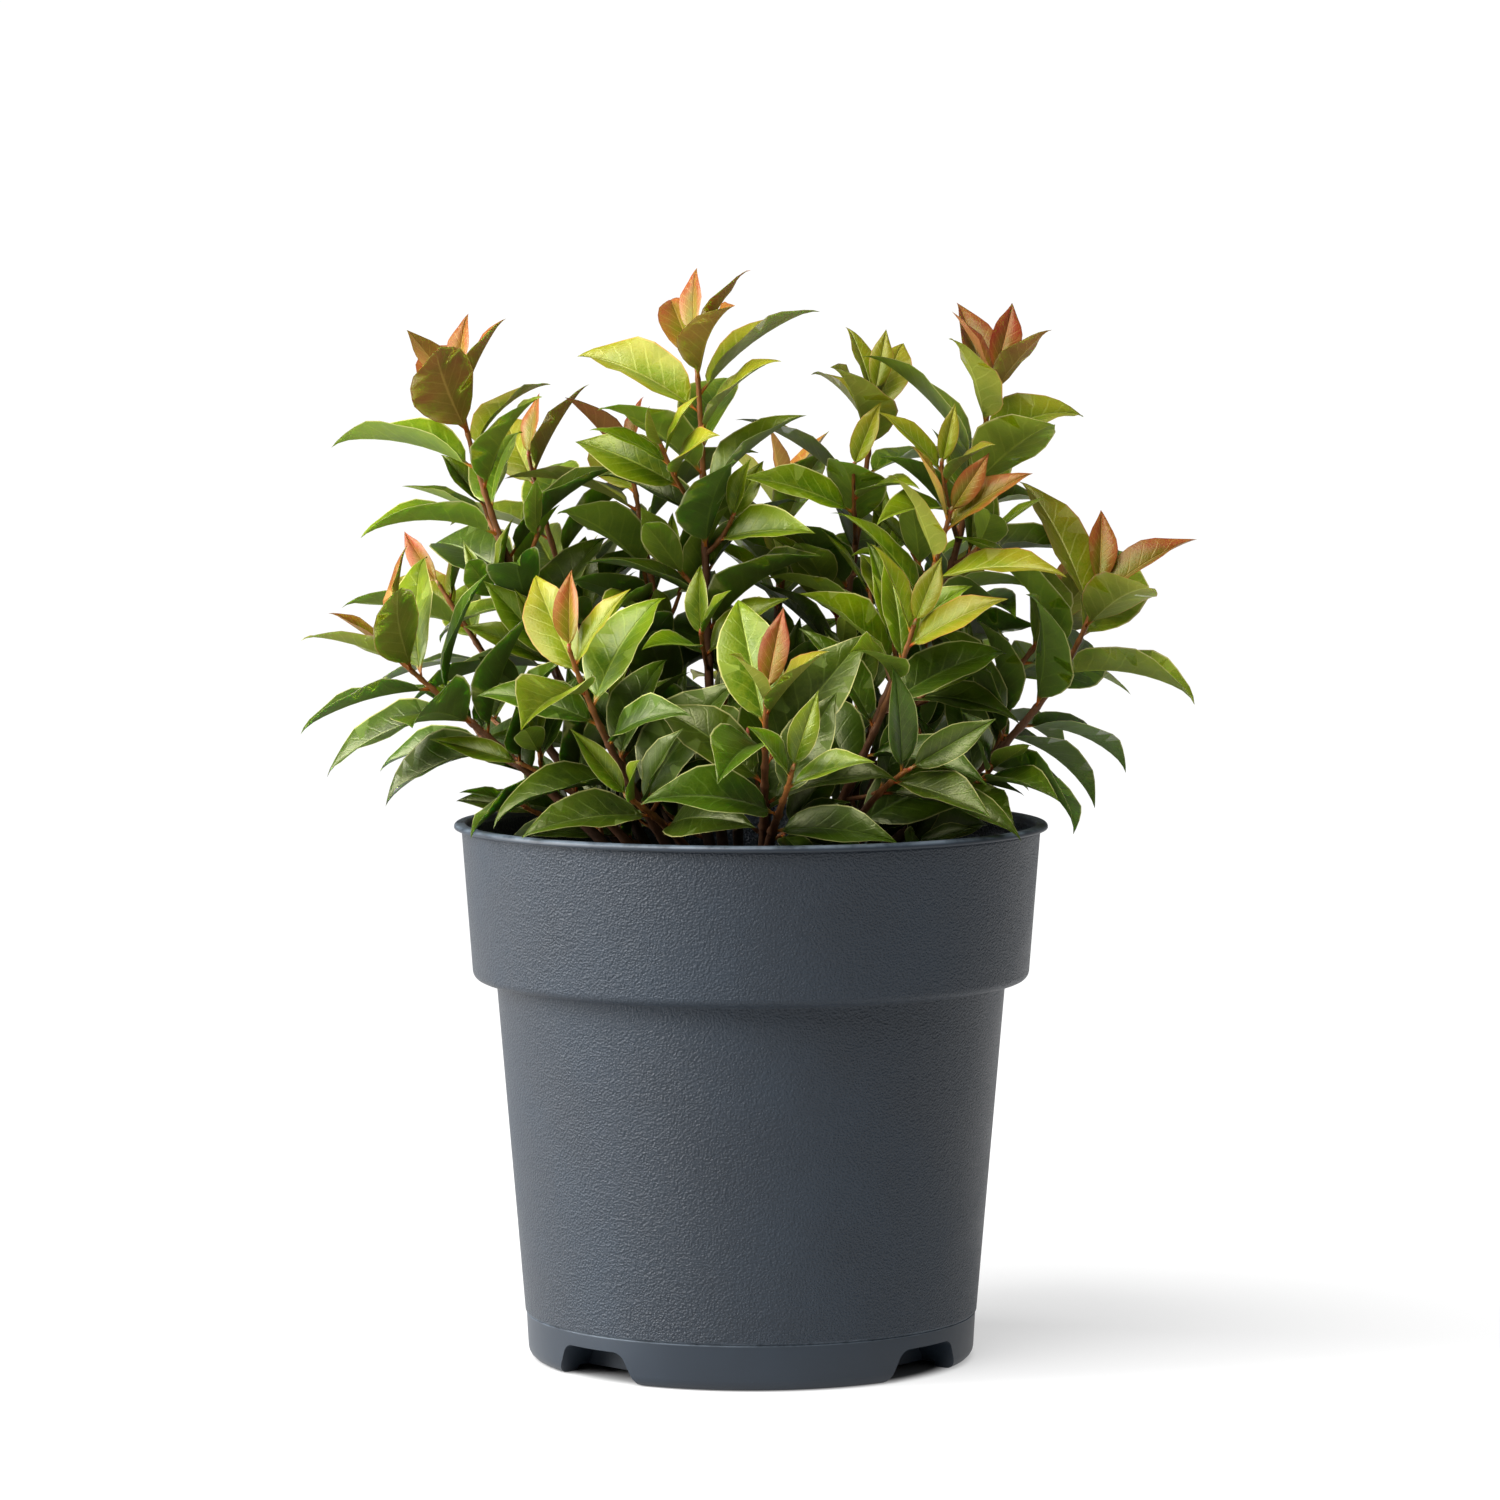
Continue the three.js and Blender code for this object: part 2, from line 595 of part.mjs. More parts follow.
function makeFoliage({ limbs, leaves }) {
  const pieces = [...limbs.map((limb) => leafyRod(limb)), ...leaves.map(leafGeometry)];
  return joined(pieces.map(toSolid));
}

const plant = new THREE.Group();
plant.add(toMesh("pot", makePot(), MATERIALS.pot));
plant.add(toMesh("soil", makeSoil(), MATERIALS.soil));
for (const mass of growMasses()) {
  plant.add(toMesh(`cane_${mass.shoot.name}`, makeCane(mass.limbs[0]), MATERIALS.cane));
  plant.add(toMesh(`foliage_${mass.shoot.name}`, makeFoliage(mass), MATERIALS.foliage));
}

export default plant;
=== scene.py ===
"""A potted coast leucothoe: arching leafy shoots in peat, in a round nursery pot, on a pale studio floor.

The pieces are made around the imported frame, in metres. The shoots grow by the rule of the part's source,
which works in millimetres, so growing works in millimetres too and MM turns its places into metres.
"""

import math
import random
from collections import namedtuple
from functools import lru_cache
from math import cos, pi, radians, sin
from types import SimpleNamespace

import bmesh
import bpy
import numpy as np
from mathutils import Matrix, Vector, noise
from mathutils.bvhtree import BVHTree


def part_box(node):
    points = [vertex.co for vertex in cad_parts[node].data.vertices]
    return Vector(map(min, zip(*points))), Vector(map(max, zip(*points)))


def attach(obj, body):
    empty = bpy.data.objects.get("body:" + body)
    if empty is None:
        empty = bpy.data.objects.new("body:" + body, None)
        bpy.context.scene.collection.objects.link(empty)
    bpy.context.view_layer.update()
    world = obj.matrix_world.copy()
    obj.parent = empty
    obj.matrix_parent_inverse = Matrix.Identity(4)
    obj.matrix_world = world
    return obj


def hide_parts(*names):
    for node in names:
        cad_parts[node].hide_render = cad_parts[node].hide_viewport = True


bl_info = {
    "name": "Potted Leucothoe",
    "version": (1, 0, 0),
    "blender": (4, 5, 0),
    "location": "View3D > Sidebar > Leucothoe",
    "description": "Makes a potted coast leucothoe and the studio around it",
    "category": "Object",
}

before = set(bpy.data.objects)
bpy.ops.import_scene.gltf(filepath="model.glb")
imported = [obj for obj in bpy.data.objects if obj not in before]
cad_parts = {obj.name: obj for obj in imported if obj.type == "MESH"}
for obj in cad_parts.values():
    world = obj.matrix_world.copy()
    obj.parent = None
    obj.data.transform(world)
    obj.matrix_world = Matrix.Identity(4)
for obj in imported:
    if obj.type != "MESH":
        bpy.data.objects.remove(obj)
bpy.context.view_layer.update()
POT_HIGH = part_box("pot")[1]
SOIL_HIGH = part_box("soil")[1]
BODY = "root"
MM = 0.001
UP = Vector((0, 0, 1))
SIDEWAYS = Vector((1, 0, 0))
SHARP_ANGLE = radians(60)
POT_SHARP_ANGLE = radians(38)

# Sizes of the pot in millimetres, as the part's source has them.
WALL = 2
BAND_TOP_RADIUS = 102.4
BAND_BOTTOM_RADIUS = 98.3
BAND_BOTTOM = 134.5
BODY_TOP_RADIUS = 90.2
BODY_BOTTOM_RADIUS = 80.2
FOOT_HEIGHT = 16.5
FOOT_RADIUS = 79.8
RECESS_RADIUS = 70
RECESS_DEPTH = 2
LIP_RADIUS = POT_HIGH.x / MM
POT_HEIGHT = POT_HIGH.z / MM
LIP_DROP = 2
NOTCH_ANGLES = (51.3, 135.7, 231.3, 315.7)
NOTCH_HEIGHT = 11.3
NOTCH_TOP_WIDTH = 27
NOTCH_BOTTOM_WIDTH = 38
NOTCH_INNER_RADIUS = 63
NOTCH_CORNER = 3
NOTCH_SINK = 5
POT_FLOOR = 15
POT_STEPS = 160
SOIL_TOP = SOIL_HIGH.z / MM
SOIL_STEPS = 120
SOIL_RINGS = 44
# The soil's relief: lumps and grains for each metre, and how it sinks from this share of its radius on.
SOIL_LUMPS = 60
SOIL_GRAINS = 420
SOIL_EDGE = 0.86
SOIL_EDGE_SLOPE = 14
CRUMB_SIZES = (0.5, 2)
CRUMB_ROOM = 4

# The shoots' rule in millimetres, as the part's source has it.
GAP = 0.3
STEM_FOOT_RADIUS = 2.2
STEM_TIP_RADIUS = 0.7
ROOT_FLARE = 1.3
ROOT_FLARE_SHARE = 0.06
TWIG_RADIUS = 0.9
CANE_SIDES = 5
CANE_STEPS = 4
TWIG_SIDES = 3
STEM_STEPS = 5
TWIG_STEPS = 3
LEAF_LENGTH = 50
LEAF_HALF_WIDTH = 0.23
LEAF_THICKNESS = 0.8
LEAF_LIFT = 0.42
LEAF_DROOP = 0.62
LEAF_FACES_UP = 0.7
LEAF_FACES_TIP = 0.5
LEAF_FACES_OUT = 0.45
LEAF_FACES_LIGHT = (0.5, 0.2)
LIGHT_SIDE = Vector((-0.25, -1, 0)).normalized()
PETIOLE_SHARE = 0.1
PETIOLE_HALF_WIDTH = 0.6
ROOT_SINK = 0.5
BLADE_RISE = 0.7
BLADE_FALL = 1
BLADE_STATIONS = (0, 0.36, 0.7, 1)
SHELL_START = 0.03
SHELL_MARGIN = 0.35
LEAF_ROLLS = (-0.35, 0.35)
LEAF_BENDS = (0.18, 0.5)
SPREAD_BEND = 0.28
DROOP_BEND = 0.25
LEAF_FOLDS = (0.3, 0.65)
LENGTH_FACTORS = (0.88, 1.12)
WIDTH_FACTORS = (0.88, 1.14)
SPIRAL_ANGLE = 137.5
TURNS_TO_TRY = (0, 26, -26, 52, -52, 80, -80)
TIP_CROWDING = 1.5
FIRST_LEAF = 0.15
YOUNG_LEAVES = 4
YOUNG_SIZE = 0.56
YOUNG_WIDTH = 0.8
YOUNG_BEND = 0.35
YOUNG_SPREADS = (27, 42)
GROWN_SPREAD = 18
FOOT_SPREAD = 8
TWIG_LEAVES = 5
TWIG_LENGTHS = (26, 40)
TWIG_FIRST = 0.12
TWIG_SPACING = 0.3
TWIG_PLACES = (0, 0.1)
TWIG_TURN = 150
TWIG_TURNS = (-15, 15)
TWIG_LEAN = 0.55
TWIG_LIFT = 0.9
TWIG_BARE = 0.3
TWIG_LEAF_SIZE = 0.85
FINE_TWIGS_FROM = 225
FINE_TWIGS_PER = 25
FINE_LENGTHS = (12, 24)
FINE_PLACES = (0.05, 0.11)
FINE_BARE = 0.2
FINE_LEAVES = 4
FINE_LEAF_SIZE = 0.85
FINE_MARGIN = 0.1
LOW_TWIG_HEIGHTS = (14, 24, 34, 44, 54, 64)
LOW_TWIGS_BEHIND = -20
CROWN_LOW = Vector((-160, -141, SOIL_TOP + 2))
CROWN_HIGH = Vector((160, 141, 386))
CROWN_STEPS = 10
RIM_ROOM = 2.5
POT_INSIDE = 95
# Seeds of the random numbers: the first, and the step from one shoot, leaf or count to the next.
TWIG_SEEDS = (101, 7)
LEAF_SEEDS = (5003, 31)
FINE_SEEDS = (9001, 53)
TINT_SEEDS = (77, 1)
FORM_SEEDS = (900, 17)
CRUMB_SEED = 11
BUMP_SEED = 5

# One row for each shoot: foot on the soil, tip, slopes at the foot and the tip, bare share, leaves,
# direction of the first leaf, side twigs, leaf size. The last two are for the looks alone: the kind of its
# youngest leaves and how many they are.
Shoot = namedtuple("Shoot", "name foot tip rise lift bare leaves turn twigs size young young_count")
SHOOTS = [Shoot(*row) for row in (
    ("crest", (-8, 4), (-20, 0, 361), 80, 84, 0.36, 17, 62, 2, 1.04, "bronze", 3),
    ("top_right", (27, 4), (86, 5, 347), 62, 80, 0.42, 14, 64, 2, 1.06, "russet", 2),
    ("top_left", (-30, 6), (-104, 8, 343), 60, 78, 0.4, 15, 58, 1, 1.06, "bronze", 3),
    ("upper_right", (12, 8), (44, 20, 341), 74, 84, 0.4, 12, 70, 2, 1, "fresh", 1),
    ("far_right", (31, -5), (122, -10, 273), 38, 76, 0.34, 14, 100, 1, 1.2, "bronze", 3),
    ("far_left", (-38, -8), (-125.6, -15, 250), 48, 42, 0.38, 13, 235, 1, 1.15, "bronze", 2),
    ("low_left", (-32, -19), (-80, -24, 212), 60, 24, 0.42, 6, 150, 0, 1.15, "green", 0),
    ("front", (4, -28), (5, -82, 240), 55, 80, 0.25, 9, 60, 1, 1.1, "russet", 1),
    ("front_left", (-20, -24), (-62, -66, 254), 50, 66, 0.3, 11, 66, 1, 1.03, "bronze", 2),
    ("front_right", (17, -20), (56, -54, 262), 60, 70, 0.32, 9, 56, 1, 1, "fresh", 1),
    ("bronze", (22, -9), (69, -34, 300), 70, 74, 0.44, 11, 52, 1, 1.04, "bronze", 4),
    ("low_right", (24, -32), (54, -64, 213), 60, 25, 0.3, 6, 0, 0, 1.15, "green", 0),
    ("low_front_left", (-14, -37), (-42, -72, 204), 62, 26, 0.3, 6, 135, 0, 1.05, "green", 0),
    ("low_front", (3, -43), (14, -103, 216), 60, 40, 0.3, 6, 60, 0, 1, "green", 0),
    ("inner_left", (-12, 16), (-43, 30, 316), 76, 80, 0.35, 13, 64, 2, 1, "russet", 3),
    ("upper_left", (-24, 20), (-80, 46, 318), 64, 76, 0.4, 13, 60, 1, 0.98, "bronze", 2),
    ("back", (4, 24), (12, 74, 304), 70, 70, 0.3, 11, 242, 2, 1, "bronze", 2),
    ("back_right", (24, 30), (76, 78, 272), 58, 56, 0.34, 11, 235, 2, 1, "russet", 2),
    ("back_left", (-22, 34), (-66, 83, 266), 58, 56, 0.34, 11, 250, 2, 1, "bronze", 3),
    ("side_right", (34, 17), (112, 42, 262), 50, 50, 0.4, 11, 20, 1, 1, "bronze", 2),
    ("side_left", (-37, 14), (-112, 38, 272), 50, 56, 0.4, 11, 66, 1, 1, "russet", 2),
    ("low_back", (-4, 42), (-8, 88, 236), 54, 42, 0.34, 10, 200, 1, 1, "fresh", 1),
)]

# The looks of a leaf: how many points its mesh has, and its sizes in millimetres.
LEAF_ROWS = (0.06, 0.11, 0.15, 0.21, 0.29, 0.39, 0.5, 0.61, 0.71, 0.8, 0.88, 0.95)
LEAF_SECTION = 4
BLADE_HALF_THICKNESS = 0.2
MARGIN_HALF_THICKNESS = 0.1
MIDRIB_KEEL = 0.4
TIP_START = 0.68
TIP_DRAW = 0.45
STALK_RADII = (0.75, 0.5)
STALK_END = PETIOLE_SHARE + 0.05
STALK_FADE = 0.06
KINDS = ("russet", "bronze", "fresh", "green", "deep")
AGE_BY_LEAF = 0.1
# Lower leaves count as older: partly their age, partly painted shade under the crown.
AGE_AND_PAINTED_SHADE_BY_DEPTH = 1.7
AGE_CHANCE = (-0.18, 0.18)
AGE_NEAR_TIP = -0.8
NEAR_TIP_LEAVES = 2
AGE_LIMITS = (("bronze", -0.2), ("fresh", 0.85), ("green", 1.5))
TIP = 0.999
TWISTS = (-0.3, 0.3)
TWIST_MIDDLE = 0.35
CURLS = (0.1, 0.7)
CURL_FROM = 0.8
CURL_REACH = 0.066
WAVE_COUNTS = (1.6, 3.0)
WAVE_HEIGHT = 0.07
ARCHES = (0.0, 0.14)

# The looks of stems and buds: sides and rings of their rods, and sizes in millimetres.
STEM_ROD = (8, 90)
TWIG_ROD = (6, 18)
STEM_SINK = 1.5
SWELLING_REACH = 1.1
BUMP_SCALE = 0.35
BUMP_HEIGHT = 0.12
TWIG_AGE = 0.4
LEAF_BUD = 0.85
TIP_BUD = 1.5

# The photograph's view.
IMAGE_SIZE = 1500
POT_AXIS_PX = 751
VIEW_PIXELS = 5862
SENSOR = 36
KEY_FROM = Vector((-0.5, -0.7, 1.2))
SOFTBOX_PLACE = Vector((-1.43, -0.15, 0.7))
SOFTBOX_SIZE = 1.2
CROWN_MIDDLE = Vector((0, 0, 0.25))
FLOOR_RADIUS = 14
FLOOR_GREY = (0.3, 0.3, 0.3)
FLOOR_GLOW = 0.58
CLIP_END = 50


def srgb(red, green, blue):
    """A colour given as it looks on a screen, 0 to 255, as the linear one that a shader takes."""
    return tuple(((c / 255 + 0.055) / 1.055) ** 2.4 if c > 10 else c / 3294 for c in (red, green, blue))


# How strongly the upper side of each kind of leaf mirrors the light.
LEAF_GLOSS = {"russet": 0.3, "bronze": 0.3, "fresh": 0.36, "green": 0.5, "deep": 0.5}
# Painted shade under the crown: leaves near the soil are painted darker, from this height in metres, to this
# one, with this share of their brightness.
LOW_LEAVES_PAINTED_SHADE = (0.19, 0.27, 0.8, 1.0)

# Colours of each kind of leaf: along its midrib, towards its edge, mottling, veins, margin and underside.
LEAF_COLOURS = {kind: [srgb(*colour) for colour in colours] for kind, colours in {
    "russet": ((114, 94, 14), (128, 54, 28), (130, 78, 34), (176, 126, 70), (106, 40, 24), (152, 104, 64)),
    "bronze": ((104, 102, 10), (130, 66, 26), (126, 92, 28), (174, 146, 72), (124, 56, 26), (148, 114, 60)),
    "fresh": ((98, 114, 2), (118, 114, 12), (118, 120, 18), (158, 160, 76), (168, 118, 60), (132, 134, 60)),
    "green": ((62, 88, 0), (90, 108, 0), (104, 116, 6), (136, 150, 54), (204, 196, 120), (122, 138, 52)),
    "deep": ((34, 54, 0), (50, 70, 0), (62, 80, 4), (90, 110, 40), (190, 188, 116), (88, 108, 46)),
}.items()}


# Settings that a user would change


COLOUR = {"subtype": "COLOR", "size": 3, "min": 0, "max": 1}
SHARE = {"subtype": "FACTOR", "min": 0, "max": 1}


class PotSettings(bpy.types.PropertyGroup):
    """The pot's plastic."""

    colour: bpy.props.FloatVectorProperty(
        name="Plastic", description="Colour of the moulded plastic", default=srgb(26, 34, 43), **COLOUR)
    scuff: bpy.props.FloatVectorProperty(
        name="Scuffs", description="Colour of the dust and light scuffs", default=srgb(37, 49, 61), **COLOUR)
    # The light colour of the rubbed lip, also used as a painted highlight on the lip and on the step over the
    # foot.
    wear_and_highlight: bpy.props.FloatVectorProperty(
        name="Worn edges", description="Colour of the plastic where it is rubbed",
        default=srgb(92, 102, 112), **COLOUR)
    roughness: bpy.props.FloatProperty(
        name="Roughness", description="Roughness of the grained wall", default=0.42, **SHARE)
    grain: bpy.props.FloatProperty(
        name="Grain", description="Size of the leather grain's cells", unit="LENGTH", min=0.0002,
        default=0.0008)


class SoilSettings(bpy.types.PropertyGroup):
    """The peat in the pot."""

    colour: bpy.props.FloatVectorProperty(
        name="Peat", description="Colour of the moist peat", default=srgb(44, 32, 25), **COLOUR)
    relief: bpy.props.FloatProperty(
        name="Relief", description="Height of the soil's lumps", unit="LENGTH", min=0, default=0.0022)
    crumbs: bpy.props.IntProperty(
        name="Crumbs", description="Number of loose crumbs on the soil", min=0, default=420)


class StemSettings(bpy.types.PropertyGroup):
    """The stems and buds."""

    young: bpy.props.FloatVectorProperty(
        name="Young bark", description="Colour of a stem near its tip", default=srgb(124, 76, 30), **COLOUR)
    grown: bpy.props.FloatVectorProperty(
        name="Grown bark", description="Colour of a stem halfway down", default=srgb(88, 55, 30), **COLOUR)
    old: bpy.props.FloatVectorProperty(
        name="Old bark", description="Colour of a stem at the soil", default=srgb(48, 35, 23), **COLOUR)
    swelling: bpy.props.FloatProperty(
        name="Swelling", description="How much thicker a stem is at a leaf", subtype="FACTOR", min=0,
        default=0.3)


class LeafSettings(bpy.types.PropertyGroup):
    """The leaves' finish."""

    roughness: bpy.props.FloatProperty(
        name="Gloss", description="Roughness of the upper side", default=0.33, **SHARE)
    back_roughness: bpy.props.FloatProperty(
        name="Back", description="Roughness of the underside", default=0.62, **SHARE)
    veins: bpy.props.IntProperty(
        name="Veins", description="Number of side veins on each half of a leaf", min=2, default=9)
    stalk: bpy.props.FloatVectorProperty(
        name="Stalk", description="Colour of the leaf stalks", default=srgb(176, 96, 36), **COLOUR)


class StudioSettings(bpy.types.PropertyGroup):
    """The studio and the photograph's view."""

    distance: bpy.props.FloatProperty(
        name="Distance", description="Camera's distance from the pot's axis", unit="LENGTH", min=0.5,
        default=2.068)
    height: bpy.props.FloatProperty(
        name="Height", description="Camera's height over the floor", unit="LENGTH", min=0, default=0.359)
    pitch: bpy.props.FloatProperty(
        name="Pitch", description="How far the camera looks down", subtype="ANGLE", default=radians(3.975))
    key: bpy.props.FloatProperty(
        name="Key light", description="Strength of the large soft light from the left", min=0, default=5.3)
    softness: bpy.props.FloatProperty(
        name="Softness", description="How wide the key light is, seen from the plant", subtype="ANGLE", min=0,
        default=radians(48))
    softbox: bpy.props.FloatProperty(
        name="Softbox", description="Power of the upright light at the left", unit="POWER", min=0, default=62)
    ambient: bpy.props.FloatProperty(
        name="Ambient", description="Light of the white room", min=0, default=0.17)
    backdrop: bpy.props.FloatProperty(
        name="Backdrop", description="Brightness of the white room behind the plant", min=0, default=1.05)


SETTINGS = {
    "leucothoe_pot": PotSettings,
    "leucothoe_soil": SoilSettings,
    "leucothoe_stems": StemSettings,
    "leucothoe_leaves": LeafSettings,
    "leucothoe_studio": StudioSettings,
}


# Node trees


class Pen:
    """Draws nodes in a tree and joins them."""

    def __init__(self, tree):
        self.tree = tree

    def add(self, kind, values=None, **settings):
        node = self.tree.nodes.new(kind)
        for name, value in settings.items():
            setattr(node, name, value)
        self.fill(node.inputs, values or {})
        return node

    def fill(self, sockets, values):
        """Gives each named socket its value. One that is a socket itself is linked, and any other is set."""
        for name, value in values.items():
            socket = sockets[name]
            if isinstance(value, bpy.types.NodeSocket):
                self.tree.links.new(value, socket)
            else:
                is_colour = socket.type == "RGBA" and len(value) == 3
                socket.default_value = (*value, 1) if is_colour else value

    def math(self, operation, *values):
        return self.add("ShaderNodeMath", dict(enumerate(values)), operation=operation).outputs[0]

    def times(self, first, second):
        return self.math("MULTIPLY", first, second)

    def scaled(self, value, factor, offset):
        return self.math("MULTIPLY_ADD", value, factor, offset)

    def fade(self, value, start, end, low=0.0, high=1.0):
        """low where the value is start or less, high where it is end or more, and smooth between them."""
        values = {"Value": value, "From Min": start, "From Max": end, "To Min": low, "To Max": high}
        return self.add("ShaderNodeMapRange", values, interpolation_type="SMOOTHSTEP").outputs[0]

    def mix(self, share, first, second):
        values = {"Factor": share, 6: first, 7: second}
        return self.add("ShaderNodeMix", values, data_type="RGBA").outputs[2]

    def noise(self, vector, scale, detail=2.0, roughness=0.5):
        values = {"Vector": vector, "Scale": scale, "Detail": detail, "Roughness": roughness}
        return self.add("ShaderNodeTexNoise", values).outputs["Fac"]

    def bump(self, height, strength, distance):
        values = {"Height": height, "Strength": strength, "Distance": distance}
        return self.add("ShaderNodeBump", values).outputs["Normal"]

    def split(self, vector):
        return self.add("ShaderNodeSeparateXYZ", {0: vector}).outputs


def new_group(name, inputs, outputs):
    """An empty node group with float sockets, but for a UV or a place, which is a vector."""
    group = bpy.data.node_groups.new(name, "ShaderNodeTree")
    for in_out, names in (("INPUT", inputs), ("OUTPUT", outputs)):
        for socket in names:
            kind = "NodeSocketVector" if socket in ("UV", "Place") else "NodeSocketFloat"
            group.interface.new_socket(socket, in_out=in_out, socket_type=kind)
    pen = Pen(group)
    return group, pen, pen.add("NodeGroupInput").outputs, pen.add("NodeGroupOutput").inputs


def new_material(name):
    """A material, with the pen for its nodes, its shader's sockets and the place on the piece."""
    material = bpy.data.materials.new(name)
    material.use_nodes = True
    pen = Pen(material.node_tree)
    place = pen.add("ShaderNodeTexCoord").outputs["Object"]
    return material, pen, material.node_tree.nodes["Principled BSDF"].inputs, place


@lru_cache(maxsize=None)
def grain_group():
    """Leather grain of moulded plastic: rounded cells with fine pits."""
    group, pen, given, wanted = new_group("Moulded grain", ("Place", "Cell"), ("Height", "Tone"))
    place = given["Place"]
    scale = pen.math("DIVIDE", 1.0, given["Cell"])
    values = {"Vector": place, "Scale": scale, "Smoothness": 0.6}
    cells = pen.add("ShaderNodeTexVoronoi", values, feature="SMOOTH_F1").outputs["Distance"]
    pits = pen.noise(place, pen.times(scale, 1.9), 3.0, 0.6)
    pen.fill(wanted, {
        "Height": pen.math("ADD", cells, pen.times(pits, 0.7)),
        "Tone": pen.fade(pen.noise(place, 14.0, 5.0, 0.62), 0.35, 0.75),
    })
    return group


@lru_cache(maxsize=None)
def leaf_figure_group():
    """The figure of a leaf: u runs across it, 0.5 on its midrib, and v from its stalk to its tip."""
    outputs = ("Edge", "Tip", "Midrib", "Veins", "Net", "Margin", "Stalk", "Relief")
    group, pen, given, wanted = new_group("Leaf figure", ("UV", "Place", "Count"), outputs)
    axes = pen.split(given["UV"])
    u, v = axes["X"], axes["Y"]
    from_midrib = pen.math("ABSOLUTE", pen.scaled(u, 2.0, -1.0))
    wobble = pen.scaled(pen.noise(given["Place"], 120.0), 0.5, -0.25)
    staggered = pen.times(pen.math("GREATER_THAN", u, 0.5), 0.45)
    climb = pen.times(pen.math("POWER", from_midrib, 0.8), -1.7)
    steps = pen.scaled(v, given["Count"], pen.math("ADD", climb, staggered))
    place = pen.math("FRACT", pen.math("ADD", steps, wobble))
    line = pen.math("ABSOLUTE", pen.math("SUBTRACT", place, 0.5))
    veins = pen.times(pen.fade(line, 0.02, 0.1, 1.0, 0.0), pen.fade(from_midrib, 0.55, 0.95, 1.0, 0.25))
    midrib = pen.fade(from_midrib, 0.015, 0.06, 1.0, 0.0)
    leafwise = pen.add("ShaderNodeVectorMath", {0: given["UV"], 1: (14.0, 34.0, 0.0)}, operation="MULTIPLY")
    wander = pen.add("ShaderNodeVectorMath", {0: leafwise.outputs[0], 1: given["Place"]}, operation="ADD")
    values = {"Vector": wander.outputs[0], "Scale": 1.0}
    net = pen.add("ShaderNodeTexVoronoi", values, feature="DISTANCE_TO_EDGE").outputs["Distance"]
    carved = pen.scaled(midrib, 0.8, pen.times(veins, 0.2))
    relief = pen.math("SUBTRACT", pen.fade(net, 0.0, 0.3, 0.0, 0.1), carved)
    domed = pen.times(from_midrib, pen.math("SUBTRACT", 1.0, from_midrib))
    pen.fill(wanted, {
        "Edge": pen.fade(from_midrib, 0.1, 0.9),
        "Tip": pen.fade(v, 0.15, 0.95),
        "Midrib": midrib,
        "Veins": veins,
        "Net": pen.fade(net, 0.0, 0.16, 1.0, 0.0),
        "Margin": pen.fade(from_midrib, 0.93, 0.99),
        "Stalk": pen.fade(v, 0.06, 0.12, 1.0, 0.0),
        "Relief": pen.scaled(domed, 9.0, relief),
    })
    return group


def leaf_material(kind, back, settings):
    """The upper side of a kind of leaf, or its back."""
    centre, edge, mottle, vein, margin, under = LEAF_COLOURS[kind]
    material, pen, shader, place = new_material(f"leaf_{kind}_back" if back else f"leaf_{kind}")
    uv = pen.add("ShaderNodeUVMap", uv_map="Leaf").outputs["UV"]
    values = {"UV": uv, "Place": place, "Count": float(settings.veins)}
    mask = pen.add("ShaderNodeGroup", values, node_tree=leaf_figure_group()).outputs
    tint = pen.add("ShaderNodeAttribute", attribute_name="tint").outputs["Fac"]
    patches = pen.noise(place, 300.0, 4.0, 0.6)
    clouds = pen.noise(place, 70.0)
    outer = pen.scaled(mask["Tip"], 0.75, pen.times(mask["Edge"], 0.5))
    outer = pen.math("ADD", outer, pen.scaled(clouds, 0.9, -0.45))
    colour = pen.mix(pen.fade(outer, 0.15, 0.9), centre, edge)
    colour = pen.mix(pen.fade(patches, 0.42, 0.7, 0.0, 0.6), colour, mottle)
    if back:
        colour = pen.mix(0.55, colour, under)
    for name, share, drawn in (("Net", 0.1, vein), ("Veins", 0.3, vein), ("Midrib", 0.65, vein),
                               ("Margin", 0.75, margin)):
        colour = pen.mix(pen.times(mask[name], share), colour, drawn)
    colour = pen.mix(mask["Stalk"], colour, settings.stalk)
    light = pen.scaled(clouds, 0.8, pen.scaled(tint, 0.36, 0.41))
    # Painted shade: leaves low in the crown are darkened by their height.
    light = pen.times(light, pen.fade(pen.split(place)["Z"], *LOW_LEAVES_PAINTED_SHADE))
    shifted = {"Hue": pen.scaled(tint, 0.03, 0.483), "Value": light, "Color": colour}
    rough = settings.back_roughness if back else settings.roughness
    strength, depth = (0.4, -0.0003) if back else (0.7, 0.0003)
    pen.fill(shader, {
        "Base Color": pen.add("ShaderNodeHueSaturation", shifted).outputs["Color"],
        "Roughness": pen.scaled(patches, 0.2, rough - 0.1),
        "Normal": pen.bump(mask["Relief"], strength, depth),
        "Specular IOR Level": 0.2 if back else LEAF_GLOSS[kind],
        "Specular Tint": (1, 1, 0.55),
        "Subsurface Weight": 0.08,
        "Subsurface Radius": (0.4, 1.0, 0.15),
        "Subsurface Scale": 0.002,
    })
    return material


